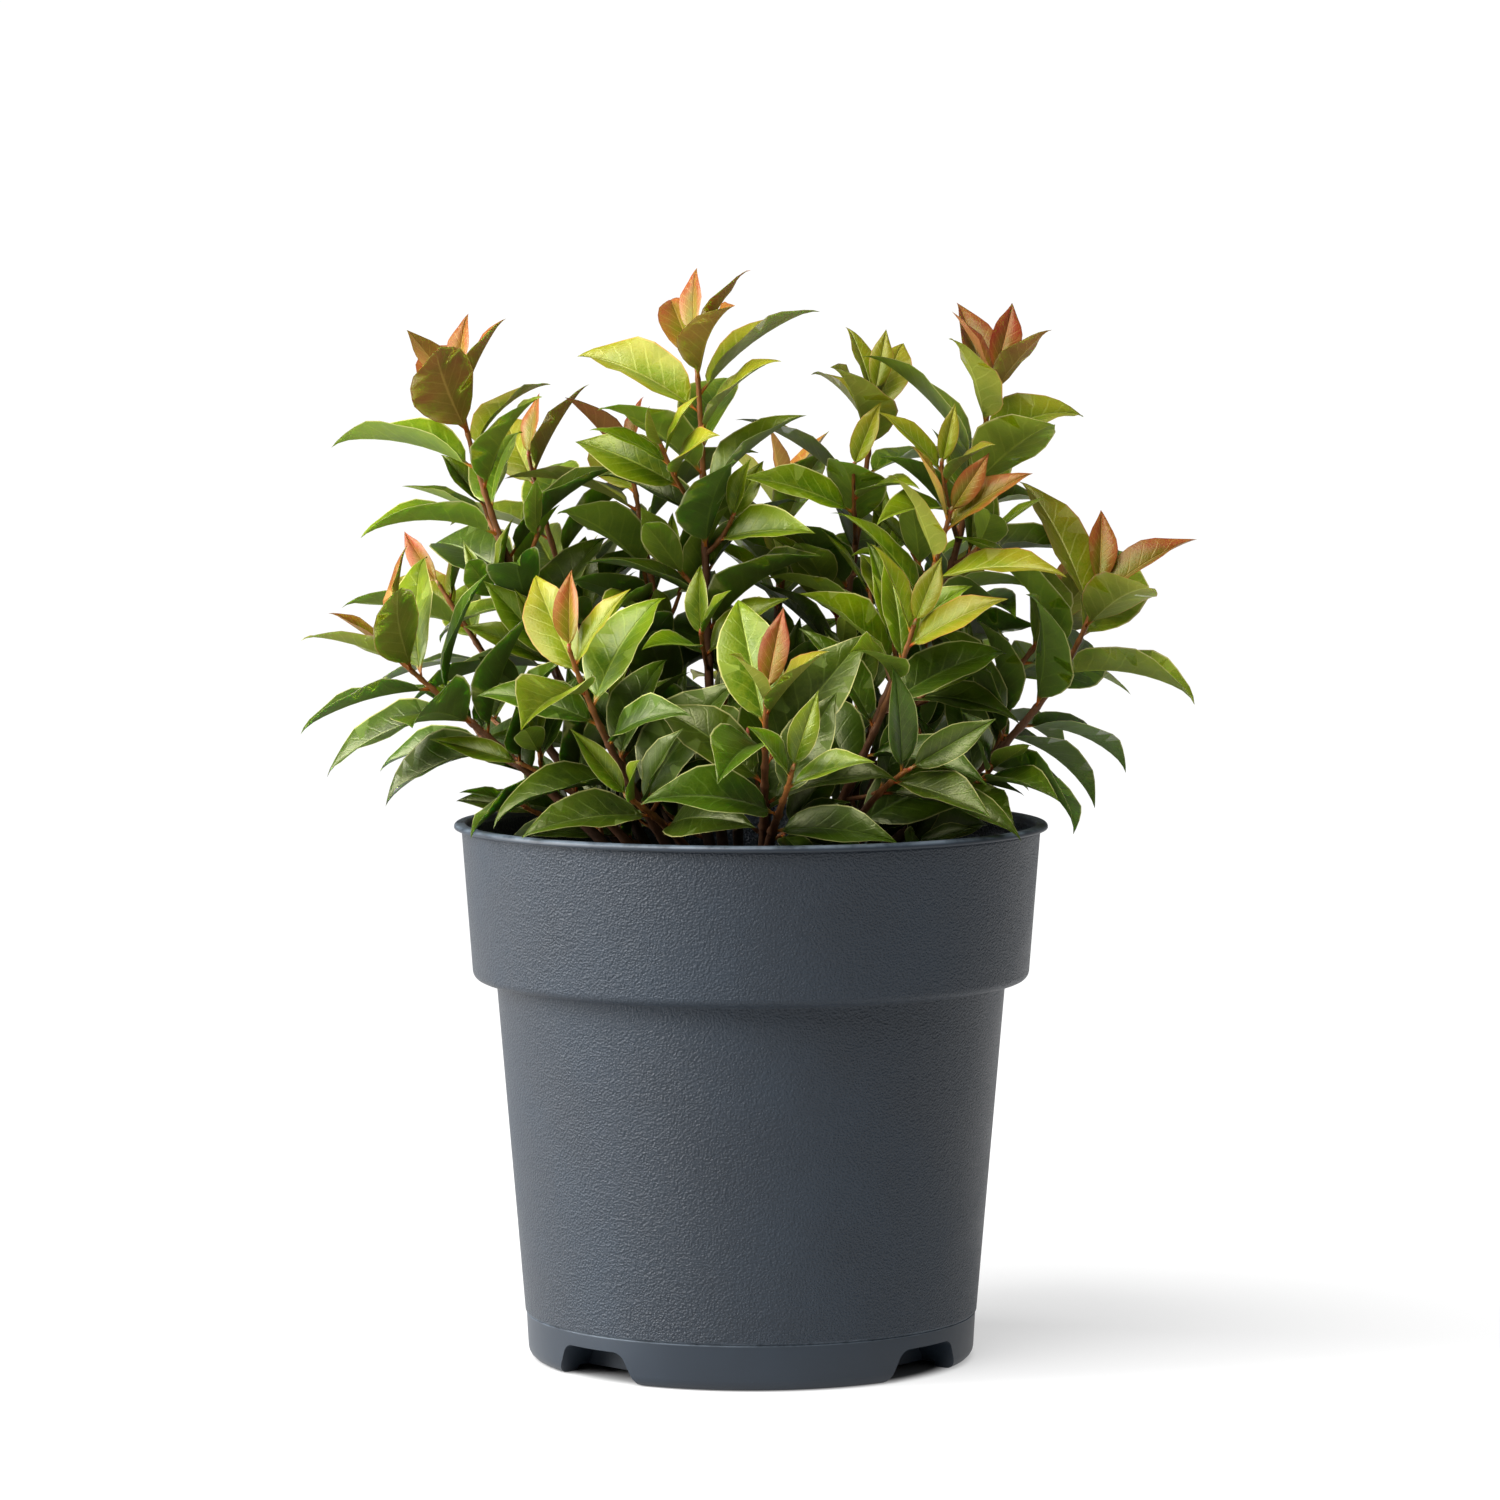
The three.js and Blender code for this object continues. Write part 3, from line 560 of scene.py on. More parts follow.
def bark_material(settings):
    """Bark from the green-red young wood to the dark foot, by the piece's own age attribute."""
    material, pen, shader, place = new_material("bark")
    stretched = pen.add("ShaderNodeMapping", {"Vector": place, "Scale": (1.0, 1.0, 0.22)}).outputs[0]
    fibres = pen.noise(stretched, 900.0, 4.0, 0.65)
    age = pen.add("ShaderNodeAttribute", attribute_name="age").outputs["Fac"]
    aged = pen.math("ADD", age, pen.scaled(pen.noise(place, 150.0, 3.0), 0.3, -0.15))
    colour = pen.mix(pen.fade(aged, 0.05, 0.45), settings.young, settings.grown)
    colour = pen.mix(pen.fade(aged, 0.55, 0.95), colour, settings.old)
    streak = pen.fade(fibres, 0.4, 0.7, 0.0, 0.45)
    pen.fill(shader, {
        "Base Color": pen.mix(streak, colour, [c * 0.45 for c in settings.grown]),
        "Roughness": pen.fade(aged, 0.0, 1.0, 0.5, 0.85),
        "Normal": pen.bump(fibres, 0.5, 0.0003),
        "Specular IOR Level": 0.25,
    })
    return material


def bud_material():
    material, pen, shader, place = new_material("bud_scales")
    patches = pen.noise(place, 700.0, 3.0)
    pen.fill(shader, {
        "Base Color": pen.mix(pen.fade(patches, 0.35, 0.65), srgb(168, 70, 48), srgb(120, 110, 52)),
        "Normal": pen.bump(patches, 0.4, 0.0002),
        "Roughness": 0.45,
    })
    return material


def worn_and_highlit_edges(pen, height):
    """Where the pot is painted lighter: the top of its lip, partly rubbed by hands and shelves and partly a
    painted highlight, and faintly the step over its foot, a painted highlight on its seam.
    """
    lip = pen.fade(height, (POT_HEIGHT - 1.3) * MM, (POT_HEIGHT - 0.3) * MM, 0.0, 0.8)
    step_low = pen.fade(height, (FOOT_HEIGHT - 0.9) * MM, (FOOT_HEIGHT - 0.5) * MM)
    step_high = pen.fade(height, (FOOT_HEIGHT + 0.3) * MM, (FOOT_HEIGHT + 0.6) * MM, 0.5, 0.0)
    return pen.math("MAXIMUM", lip, pen.times(step_low, step_high))


def plastic_material(settings):
    """Dark moulded plastic with a leather grain, a little dust on it, and a smooth foot."""
    material, pen, shader, place = new_material("moulded_plastic")
    values = {"Place": place, "Cell": settings.grain}
    grain = pen.add("ShaderNodeGroup", values, node_tree=grain_group()).outputs
    height = pen.split(place)["Z"]
    foot, lip = FOOT_HEIGHT * MM, (POT_HEIGHT - LIP_DROP) * MM
    over_foot = pen.fade(height, foot - 0.0002, foot + 0.0006)
    under_lip = pen.fade(height, lip - 0.0012, lip, 1.0, 0.0)
    colour = pen.mix(pen.times(grain["Tone"], 0.45), settings.colour, settings.scuff)
    specks = pen.fade(pen.noise(place, 1600.0, 1.0), 0.68, 0.76, 0.0, 0.35)
    colour = pen.mix(specks, colour, settings.scuff)
    patchy = pen.fade(pen.noise(place, 90.0, 5.0, 0.7), 0.3, 0.6)
    # Rubbed plastic with a painted highlight along the lip's top, and a painted highlight on the step over
    # the foot.
    rubbed_and_highlit = pen.times(worn_and_highlit_edges(pen, height), patchy)
    relief = pen.times(grain["Height"], pen.times(over_foot, under_lip))
    pen.fill(shader, {
        "Base Color": pen.mix(rubbed_and_highlit, colour, settings.wear_and_highlight),
        "Roughness": pen.scaled(grain["Tone"], 0.12, settings.roughness),
        "Normal": pen.bump(relief, 0.58, 0.0009),
        "Specular IOR Level": 0.36,
    })
    return material


def peat_material(settings, name, lift):
    """Moist peat. lift makes it lighter, as the dry crumbs on top are."""
    material, pen, shader, place = new_material(name)
    coarse = pen.noise(place, 90.0, 6.0, 0.7)
    fine = pen.noise(place, 900.0, 4.0, 0.7)
    base = [min(1, c * lift) for c in settings.colour]
    colour = pen.mix(pen.fade(coarse, 0.35, 0.65), [c * 0.35 for c in base], base)
    pale = pen.fade(fine, 0.58, 0.72, 0.0, 0.6)
    pen.fill(shader, {
        "Base Color": pen.mix(pale, colour, [min(1, c * 3.2) for c in base]),
        "Normal": pen.bump(pen.math("ADD", coarse, fine), 0.8, 0.0012),
        "Roughness": 0.95,
        "Specular IOR Level": 0.2,
    })
    return material


# Meshes


def mesh_from(shape, name):
    """Ends a bmesh as a mesh."""
    mesh = bpy.data.meshes.new(name)
    shape.to_mesh(mesh)
    shape.free()
    return mesh


def linked(name, data):
    """A new object in the scene."""
    item = bpy.data.objects.new(name, data)
    bpy.context.scene.collection.objects.link(item)
    return item


def piece_from(shape, name, materials, replaced=(), sharp_angle=SHARP_ANGLE):
    """Ends a bmesh as a piece of the object: it rides on the plant's body and stands for its nodes."""
    mesh = mesh_from(shape, name)
    for material in materials:
        mesh.materials.append(material)
    piece = linked(name, mesh)
    if sharp_angle:
        mesh.shade_smooth()
        mesh.set_sharp_from_angle(angle=sharp_angle)
    if replaced:
        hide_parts(*replaced)
    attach(piece, BODY)
    return piece


def nodes_named(start):
    return sorted(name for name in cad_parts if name.startswith(start))


def add_copy(shape, mesh):
    """Adds a copy of a mesh to a bmesh and gives its new vertices."""
    before = len(shape.verts)
    shape.from_mesh(mesh)
    shape.verts.ensure_lookup_table()
    return shape.verts[before:]


def rounded(corners, steps=5):
    """A profile of (radius, height, rounding) corners with arcs in place of the corners that are rounded."""
    points = []
    for index, (radius, height, rounding) in enumerate(corners):
        corner = Vector((radius, height))
        if not rounding:
            points.append(corner)
            continue
        before = (Vector(corners[index - 1][:2]) - corner).normalized()
        after = (Vector(corners[index + 1][:2]) - corner).normalized()
        half_angle = before.angle(after) / 2
        reach = rounding / math.tan(half_angle)
        middle = corner + (before + after).normalized() * rounding / sin(half_angle)
        start = corner + before * reach - middle
        end = corner + after * reach - middle
        turn = start.angle_signed(end)
        for step in range(steps + 1):
            angle = -turn * step / steps
            arm = Vector((start.x * cos(angle) - start.y * sin(angle),
                          start.x * sin(angle) + start.y * cos(angle)))
            points.append(middle + arm)
    return points


def spun(profile, steps):
    """A closed shape turned about the Z axis from a profile in millimetres that starts and ends on it."""
    shape = bmesh.new()
    chain = [shape.verts.new((point[0] * MM, 0, point[1] * MM)) for point in profile]
    edges = [shape.edges.new(pair) for pair in zip(chain, chain[1:])]
    bmesh.ops.spin(shape, geom=chain + edges, cent=(0, 0, 0), axis=(0, 0, 1), angle=2 * pi, steps=steps,
                   use_merge=True)
    bmesh.ops.remove_doubles(shape, verts=shape.verts[:], dist=1e-6)
    bmesh.ops.recalc_face_normals(shape, faces=shape.faces[:])
    return shape


def notch_cutters():
    """Four blocks with slanting sides and rounded tops, one for each drain notch."""
    shape = bmesh.new()
    depth = LIP_RADIUS - NOTCH_INNER_RADIUS
    slant = (NOTCH_BOTTOM_WIDTH - NOTCH_TOP_WIDTH) / NOTCH_HEIGHT
    for angle in NOTCH_ANGLES:
        before = set(shape.verts)
        block = bmesh.ops.create_cube(shape, size=1)["verts"]
        for vert in block:
            height = NOTCH_HEIGHT if vert.co.z > 0 else -NOTCH_SINK
            width = NOTCH_BOTTOM_WIDTH - slant * height
            vert.co = Vector((vert.co.x * width, NOTCH_INNER_RADIUS + (vert.co.y + 0.5) * depth, height)) * MM
        along = [edge for edge in shape.edges if edge.verts[0] in block and edge.verts[1] in block
                 and all(abs(end.co.z - NOTCH_HEIGHT * MM) < 1e-7 for end in edge.verts)
                 and abs(edge.verts[0].co.x - edge.verts[1].co.x) < 1e-7]
        bmesh.ops.bevel(shape, geom=along, offset=NOTCH_CORNER * MM, affect="EDGES", segments=5, profile=0.5,
                        material=-1)
        turn = Matrix.Rotation(radians(angle) + pi, 3, "Z")
        turned = [vert for vert in shape.verts if vert not in before]
        bmesh.ops.rotate(shape, verts=turned, cent=(0, 0, 0), matrix=turn)
    bmesh.ops.recalc_face_normals(shape, faces=shape.faces[:])
    return shape


def pot_profile():
    """The pot's section: from its underside's middle, up its outside, over the lip and down its inside."""
    foot_top = FOOT_HEIGHT - 0.5
    return rounded([
        (0, RECESS_DEPTH, 0),
        (RECESS_RADIUS, RECESS_DEPTH, 0.5),
        (RECESS_RADIUS + 1, 0, 0.4),
        (FOOT_RADIUS - 0.9, 0, 4.2),
        (FOOT_RADIUS, foot_top, 0.2),
        (FOOT_RADIUS - 0.35, foot_top + 0.35, 0.1),
        (BODY_BOTTOM_RADIUS, FOOT_HEIGHT + 0.3, 0.2),
        (BODY_TOP_RADIUS, BAND_BOTTOM, 1.6),
        (BAND_BOTTOM_RADIUS, BAND_BOTTOM, 3.4),
        (BAND_TOP_RADIUS, POT_HEIGHT - LIP_DROP, 0.6),
        (LIP_RADIUS, POT_HEIGHT - LIP_DROP, 0.5),
        (LIP_RADIUS, POT_HEIGHT, 1.3),
        (BAND_TOP_RADIUS - WALL + 0.4, POT_HEIGHT, 1.0),
        (BAND_TOP_RADIUS - WALL, POT_HEIGHT - LIP_DROP, 0),
        (BAND_BOTTOM_RADIUS - WALL, BAND_BOTTOM + 2.5 * WALL, 2),
        (BODY_TOP_RADIUS - WALL, BAND_BOTTOM + WALL, 1),
        (BODY_BOTTOM_RADIUS - WALL, POT_FLOOR, 0),
        (0, POT_FLOOR, 0),
    ])


# Growing the shoots, in millimetres


def make_random(seed, step=0, index=0):
    state = seed + step * index

    def draw():
        nonlocal state
        state = (state * 1664525 + 1013904223) % 4294967296
        return state / 4294967296

    return draw


def blended(limits, share):
    return limits[0] + (limits[1] - limits[0]) * share


def between(draw, limits):
    return blended(limits, draw())


class Bezier:
    """A Bezier curve of any order."""

    def __init__(self, points):
        self.points = points
        self.steps = [b - a for a, b in zip(points, points[1:])]
        walk = [self.point(i / 200) for i in range(201)]
        self.length = sum((b - a).length for a, b in zip(walk, walk[1:]))

    @staticmethod
    def walked(points, share):
        while len(points) > 1:
            points = [a.lerp(b, share) for a, b in zip(points, points[1:])]
        return points[0]

    def point(self, share):
        return self.walked(self.points, share)

    def tangent(self, share):
        return self.walked(self.steps, share).normalized()


def sloped(outward, degrees):
    angle = radians(degrees)
    return outward * cos(angle) + UP * sin(angle)


def stem_curve(shoot):
    foot = Vector((*shoot.foot, SOIL_TOP + GAP))
    tip = Vector(shoot.tip)
    outward = Vector((tip.x - foot.x, tip.y - foot.y, 0)).normalized()
    third = (tip - foot).length / 3
    low = foot + sloped(outward, shoot.rise) * third
    high = tip - sloped(outward, shoot.lift) * third
    return Bezier([foot, low, high, tip])


def cross_axes(tangent):
    a = (SIDEWAYS - tangent * SIDEWAYS.dot(tangent)).normalized()
    return a, tangent.cross(a)


def around(tangent, degrees):
    a, b = cross_axes(tangent)
    angle = radians(degrees)
    return a * cos(angle) + b * sin(angle)


def limb_radius(limb, share):
    if not limb.main:
        return blended((TWIG_RADIUS, STEM_TIP_RADIUS), share)
    flare = ROOT_FLARE * max(0, 1 - share / ROOT_FLARE_SHARE) ** 2
    return blended((STEM_FOOT_RADIUS, STEM_TIP_RADIUS), share) + flare


class Shell:
    """The room that a limb or a leaf needs: closed rods, each given by its rings and its two end points."""

    def __init__(self, rods):
        places, corners = [], []
        for rings, first, last in rods:
            start, sides = len(places), len(rings[0])
            places += [point for ring in rings for point in ring] + [first, last]
            first_end, last_end = len(places) - 2, len(places) - 1
            for side in range(sides):
                beside = (side + 1) % sides
                for ring in range(len(rings) - 1):
                    low, high = start + ring * sides, start + (ring + 1) * sides
                    corners += [(high + side, low + side, high + beside),
                                (low + side, low + beside, high + beside)]
                top = start + (len(rings) - 1) * sides
                corners += [(start + side, start + beside, first_end), (top + side, top + beside, last_end)]
        self.tree = BVHTree.FromPolygons(places, corners)
        self.low = Vector(map(min, *places))
        self.high = Vector(map(max, *places))

    def touches(self, other):
        apart = any(self.low[i] > other.high[i] or self.high[i] < other.low[i] for i in range(3))
        return not apart and bool(self.tree.overlap(other.tree))


def bent_rings(curve, start, end, radius_at, sides, steps):
    """The rings of a rod that encloses as much as a round one would."""
    corner = math.sqrt(2 * pi / (sides * sin(2 * pi / sides)))
    rings = []
    for step in range(steps + 1):
        share = start + (end - start) * step / steps
        a, b = cross_axes(curve.tangent(share))
        reach = corner * radius_at(share)
        turns = [2 * pi * side / sides for side in range(sides)]
        middle = curve.point(share)
        rings.append([middle + (a * sin(turn) - b * cos(turn)) * reach for turn in turns])
    return rings, curve.point(start), curve.point(end)


def limb_shell(limb):
    def radius_at(share):
        return limb_radius(limb, share) + SHELL_MARGIN

    if not limb.main:
        return Shell([bent_rings(limb.curve, 0, 1, radius_at, TWIG_SIDES, TWIG_STEPS)])
    cane = bent_rings(limb.curve, 0, limb.leafy_from, radius_at, CANE_SIDES, CANE_STEPS)
    start = limb.leafy_from + GAP / limb.curve.length
    return Shell([cane, bent_rings(limb.curve, start, 1, radius_at, TWIG_SIDES, STEM_STEPS)])


def blade_shape(share):
    """The width of a blade at a share of its length, 1 where it is widest."""
    along = np.clip((share - PETIOLE_SHARE) / (1 - PETIOLE_SHARE), 0, 1)
    widest = BLADE_RISE / (BLADE_RISE + BLADE_FALL)
    most = widest ** BLADE_RISE * (1 - widest) ** BLADE_FALL
    return along ** BLADE_RISE * (1 - along) ** BLADE_FALL / most


def leaf_point(leaf, share, across, above, margin=0.0):
    """A point of the source's leaf: share along it, across from -1 to 1, above its middle face."""
    angle = leaf.bend * share
    forward = sin(angle) / leaf.bend * leaf.length
    back = (1 - cos(angle)) / leaf.bend * leaf.length
    face = leaf.normal * cos(angle) + leaf.along * sin(angle)
    narrowest = PETIOLE_HALF_WIDTH if share < 1 else 0
    half = max(leaf.half_width * float(blade_shape(share)), narrowest) + margin
    middle = leaf.base + leaf.along * forward - leaf.normal * back
    folded = face * (abs(across) * half * sin(leaf.fold) + above)
    return middle + leaf.side * (across * half * cos(leaf.fold)) + folded


def leaf_shell(leaf, margin):
    rings = []
    for station in BLADE_STATIONS:
        share = max(SHELL_START, station)
        above = LEAF_THICKNESS / 2 + margin
        section = ((0, -above), (1, 0), (0, above), (-1, 0))
        rings.append([leaf_point(leaf, share, across, rise, margin) for across, rise in section])
    ends = [leaf_point(leaf, share, 0, 0, margin) for share in (SHELL_START, 1)]
    return Shell([(rings, *ends)])


def make_leaf(base, tangent, radial, spread, age, size, draw):
    """A leaf on a stem. A grown leaf low on the outer side of the shrub hangs, and all face outwards."""
    outward = Vector((base.x, base.y, 0)).normalized()
    lowness = (CROWN_HIGH.z - base.z) / (CROWN_HIGH.z - SOIL_TOP)
    droop = age * lowness * max(0, radial.dot(outward))
    lift = LEAF_LIFT - LEAF_DROOP * droop
    along = (tangent * cos(spread) + radial * sin(spread) + UP * lift).normalized()
    roll = between(draw, LEAF_ROLLS)
    bend = between(draw, LEAF_BENDS) + SPREAD_BEND * spread + DROOP_BEND * droop
    bend *= YOUNG_BEND + (1 - YOUNG_BEND) * age
    fold = between(draw, LEAF_FOLDS)
    length = LEAF_LENGTH * size * between(draw, LENGTH_FACTORS)
    half_width = length * LEAF_HALF_WIDTH * between(draw, WIDTH_FACTORS)
    half_width *= YOUNG_WIDTH + (1 - YOUNG_WIDTH) * age
    facing = UP * LEAF_FACES_UP + tangent * LEAF_FACES_TIP + outward * LEAF_FACES_OUT
    facing += LIGHT_SIDE * blended(LEAF_FACES_LIGHT, age)
    normal = (facing - along * facing.dot(along)).normalized()
    normal = normal * cos(roll) + normal.cross(along) * sin(roll)
    foot = base - along * ROOT_SINK
    return SimpleNamespace(base=foot, along=along, normal=normal, side=normal.cross(along), length=length,
                           half_width=half_width, bend=bend, fold=fold)


def clear_of_pot(point):
    radius = math.hypot(point.x, point.y)
    return point.z > POT_HEIGHT + RIM_ROOM or radius < POT_INSIDE or radius > LIP_RADIUS + RIM_ROOM


def stays_in_crown(leaf):
    for step in range(1, CROWN_STEPS + 1):
        for across in (-1, 0, 1):
            point = leaf_point(leaf, step / CROWN_STEPS, across, 0)
            inside = all(CROWN_LOW[i] <= point[i] <= CROWN_HIGH[i] for i in range(3))
            if not inside or not clear_of_pot(point):
                return False
    return True


def leaf_kind(limb, k, height, draw):
    """The kind of a limb's leaf number k, counted from its tip: older leaves and lower ones are darker, the
    lower ones partly for their age and partly as painted shade under the crown.
    """
    young = limb.shoot.young_count if limb.main else 0
    if k < young:
        return limb.young
    depth = (CROWN_HIGH.z - height) / (CROWN_HIGH.z - SOIL_TOP)
    # Depth darkens a leaf partly as age and partly as painted shade under the crown.
    age = AGE_BY_LEAF * (k - young) + AGE_AND_PAINTED_SHADE_BY_DEPTH * depth + between(draw, AGE_CHANCE)
    if young and k < young + NEAR_TIP_LEAVES:
        age += AGE_NEAR_TIP
    kind = next((kind for kind, limit in AGE_LIMITS if age < limit), "deep")
    return KINDS[max(KINDS.index(kind), KINDS.index(limb.young))]


def grow_leaves(limb, count, size, turn, draw, taken, limbs, margin=SHELL_MARGIN):
    leaves = []
    tints = make_random(*TINT_SEEDS, len(taken))
    for k in range(count):
        share = 1 - (1 - limb.leafy_from) * ((k + FIRST_LEAF) / count) ** TIP_CROWDING
        age = min(1, k / YOUNG_LEAVES)
        spread = radians(between(draw, YOUNG_SPREADS) + GROWN_SPREAD * age + FOOT_SPREAD * k / count)
        grown = size * (YOUNG_SIZE + (1 - YOUNG_SIZE) * age)
        draws = make_random(math.floor(draw() * 1e9))
        tangent = limb.curve.tangent(share)
        for nudge in TURNS_TO_TRY:
            radial = around(tangent, turn + k * SPIRAL_ANGLE + nudge)
            leaf = make_leaf(limb.curve.point(share), tangent, radial, spread, age, grown, draws)
            shell = leaf_shell(leaf, margin)
            crossed = any(other.shoot is not limb.shoot and shell.touches(other.shell) for other in limbs)
            if not crossed and not any(map(shell.touches, taken)) and stays_in_crown(leaf):
                taken.append(shell)
                leaf.limb, leaf.share, leaf.tint = limb, share, tints()
                leaf.kind = leaf_kind(limb, k, leaf.base.z, tints)
                leaf.seed = len(taken)
                leaves.append(leaf)
                break
    return leaves


def side_twig(curve, share, turn, length):
    start = curve.point(share)
    tangent = curve.tangent(share)
    out = (tangent * TWIG_LEAN + around(tangent, turn)).normalized()
    bent = (out + UP * TWIG_LIFT).normalized()
    middle = start + out * (length / 2)
    return Bezier([start, middle, middle + bent * (length / 2)])


def new_limb(shoot, curve, main, leafy_from, young="fresh"):
    limb = SimpleNamespace(shoot=shoot, curve=curve, main=main, leafy_from=leafy_from, young=young)
    limb.shell = limb_shell(limb)
    return limb


def grow_limbs():
    stems = [new_limb(shoot, stem_curve(shoot), True, shoot.bare, shoot.young) for shoot in SHOOTS]
    limbs = list(stems)
    for index, stem in enumerate(stems):
        shoot = stem.shoot
        draw = make_random(*TWIG_SEEDS, index)
        phase = between(draw, (0, 360))
        for j in range(shoot.twigs):
            place = TWIG_FIRST + TWIG_SPACING * j + between(draw, TWIG_PLACES)
            share = shoot.bare + (1 - shoot.bare) * place
            turn = phase + j * TWIG_TURN + between(draw, TWIG_TURNS)
            curve = side_twig(stem.curve, share, turn, between(draw, TWIG_LENGTHS))
            twig = new_limb(shoot, curve, False, TWIG_BARE)
            if not any(other.shoot is not shoot and twig.shell.touches(other.shell) for other in limbs):
                limbs.append(twig)
    return limbs


@lru_cache(maxsize=None)
def grow_shrub():
    """The limbs and the leaves of the whole shrub, placed as the source places them."""
    limbs, taken, leaves = grow_limbs(), [], []
    for index, shoot in enumerate(SHOOTS):
        draw = make_random(*LEAF_SEEDS, index)
        for limb in [limb for limb in limbs if limb.shoot is shoot]:
            count = shoot.leaves if limb.main else TWIG_LEAVES
            size = shoot.size * (1 if limb.main else TWIG_LEAF_SIZE)
            turn = shoot.turn if limb.main else between(draw, (0, 360))
            leaves += grow_leaves(limb, count, size, turn, draw, taken, limbs)
    for index, stem in enumerate(limbs[:len(SHOOTS)]):
        draw = make_random(*FINE_SEEDS, index)
        # Leaves of the finer twigs inside the crown are at least green, and those low on the bare stretch at
        # least deep: painted shade inside the crown.
        for shares, young in zip(fine_places(stem.shoot), ("green", "deep")):
            leaves += grow_fine_twigs(stem, shares, young, draw, taken, limbs)
    return limbs, leaves


def grow_fine_twigs(stem, shares, young, draw, taken, limbs):
    """Finer twigs than the source has, in the room that its leaves have left."""
    leaves = []
    phase = between(draw, (0, 360))
    for j, share in enumerate(shares):
        curve = side_twig(stem.curve, share, phase + j * SPIRAL_ANGLE, between(draw, FINE_LENGTHS))
        twig = new_limb(stem.shoot, curve, False, FINE_BARE, young)
        start = between(draw, (0, 360))
        if any(other is not stem and twig.shell.touches(other.shell) for other in limbs):
            continue
        size = stem.shoot.size * FINE_LEAF_SIZE
        grown = grow_leaves(twig, FINE_LEAVES, size, start, draw, taken, limbs, FINE_MARGIN)
        if grown:
            limbs.append(twig)
            leaves += grown
    return leaves


def fine_places(shoot):
    """The shares along a shoot where finer twigs leave it: among its leaves, and low on its bare stretch.

    Shoots that lean to the front have no low ones, so that their stems show.
    """
    count = max(0, round((shoot.tip[2] - FINE_TWIGS_FROM) / FINE_TWIGS_PER))
    leafy = [shoot.bare + (1 - shoot.bare) * (FINE_PLACES[0] + FINE_PLACES[1] * j) for j in range(count)]
    height = shoot.tip[2] - SOIL_TOP
    low = [rise / height for rise in LOW_TWIG_HEIGHTS if rise / height < shoot.bare]
    return leafy, low if shoot.tip[1] > LOW_TWIGS_BEHIND else []


# Leaves, stems and buds as meshes


def upright_cone(sides, top):
    """A closed rod or cone along Z from 0 to 1, of radius 1 at its foot."""
    shape = bmesh.new()
    bmesh.ops.create_cone(shape, cap_ends=True, segments=sides, radius1=1, radius2=top, depth=1)
    bmesh.ops.translate(shape, verts=shape.verts[:], vec=(0, 0, 0.5))
    return shape


def leaf_template():
    """A slim closed cone with a ring for each row, which each leaf bends to its own shape.

    It gives the mesh and, for each of its points, the place across the leaf, its side and its share.
    """
    shape = upright_cone(LEAF_SECTION, 0)
    for share in LEAF_ROWS:
        everything = shape.verts[:] + shape.edges[:] + shape.faces[:]
        bmesh.ops.bisect_plane(shape, geom=everything, dist=1e-6, plane_co=(0, 0, share), plane_no=UP)
    shape.verts.index_update()
    guides = []
    for vert in shape.verts:
        share = round(vert.co.z, 4)
        ring = max(1e-6, 1 - share)
        across, side = (0 if share > TIP or abs(way / ring) < 0.1 else math.copysign(1, way)
                        for way in vert.co.xy)
        guides.append((across, side, share))
    uv = shape.loops.layers.uv.new("Leaf")
    for edge in shape.edges:
        ends = [guides[vert.index] for vert in edge.verts]
        on_margin = all(abs(across) == 1 or share > TIP for across, _, share in ends)
        on_midrib = all(across == 0 and side >= 0 and share > PETIOLE_SHARE for across, side, share in ends)
        edge.smooth = not (on_margin or on_midrib)
    for face in shape.faces:
        corners = [guides[loop.vert.index] for loop in face.loops]
        tipless = [across for across, _, share in corners if share < TIP]
        on_back = sum(side for _, side, _ in corners) < 0
        on_cap = len({share for *_, share in corners}) == 1
        face.smooth = True
        face.material_index = int(on_back or on_cap)
        for loop, (across, _, share) in zip(face.loops, corners):
            across = sum(tipless) / len(tipless) if share > TIP else across
            loop[uv].uv = ((across + 1) / 2, share)
    return mesh_from(shape, "leaf_template"), np.array(guides).T


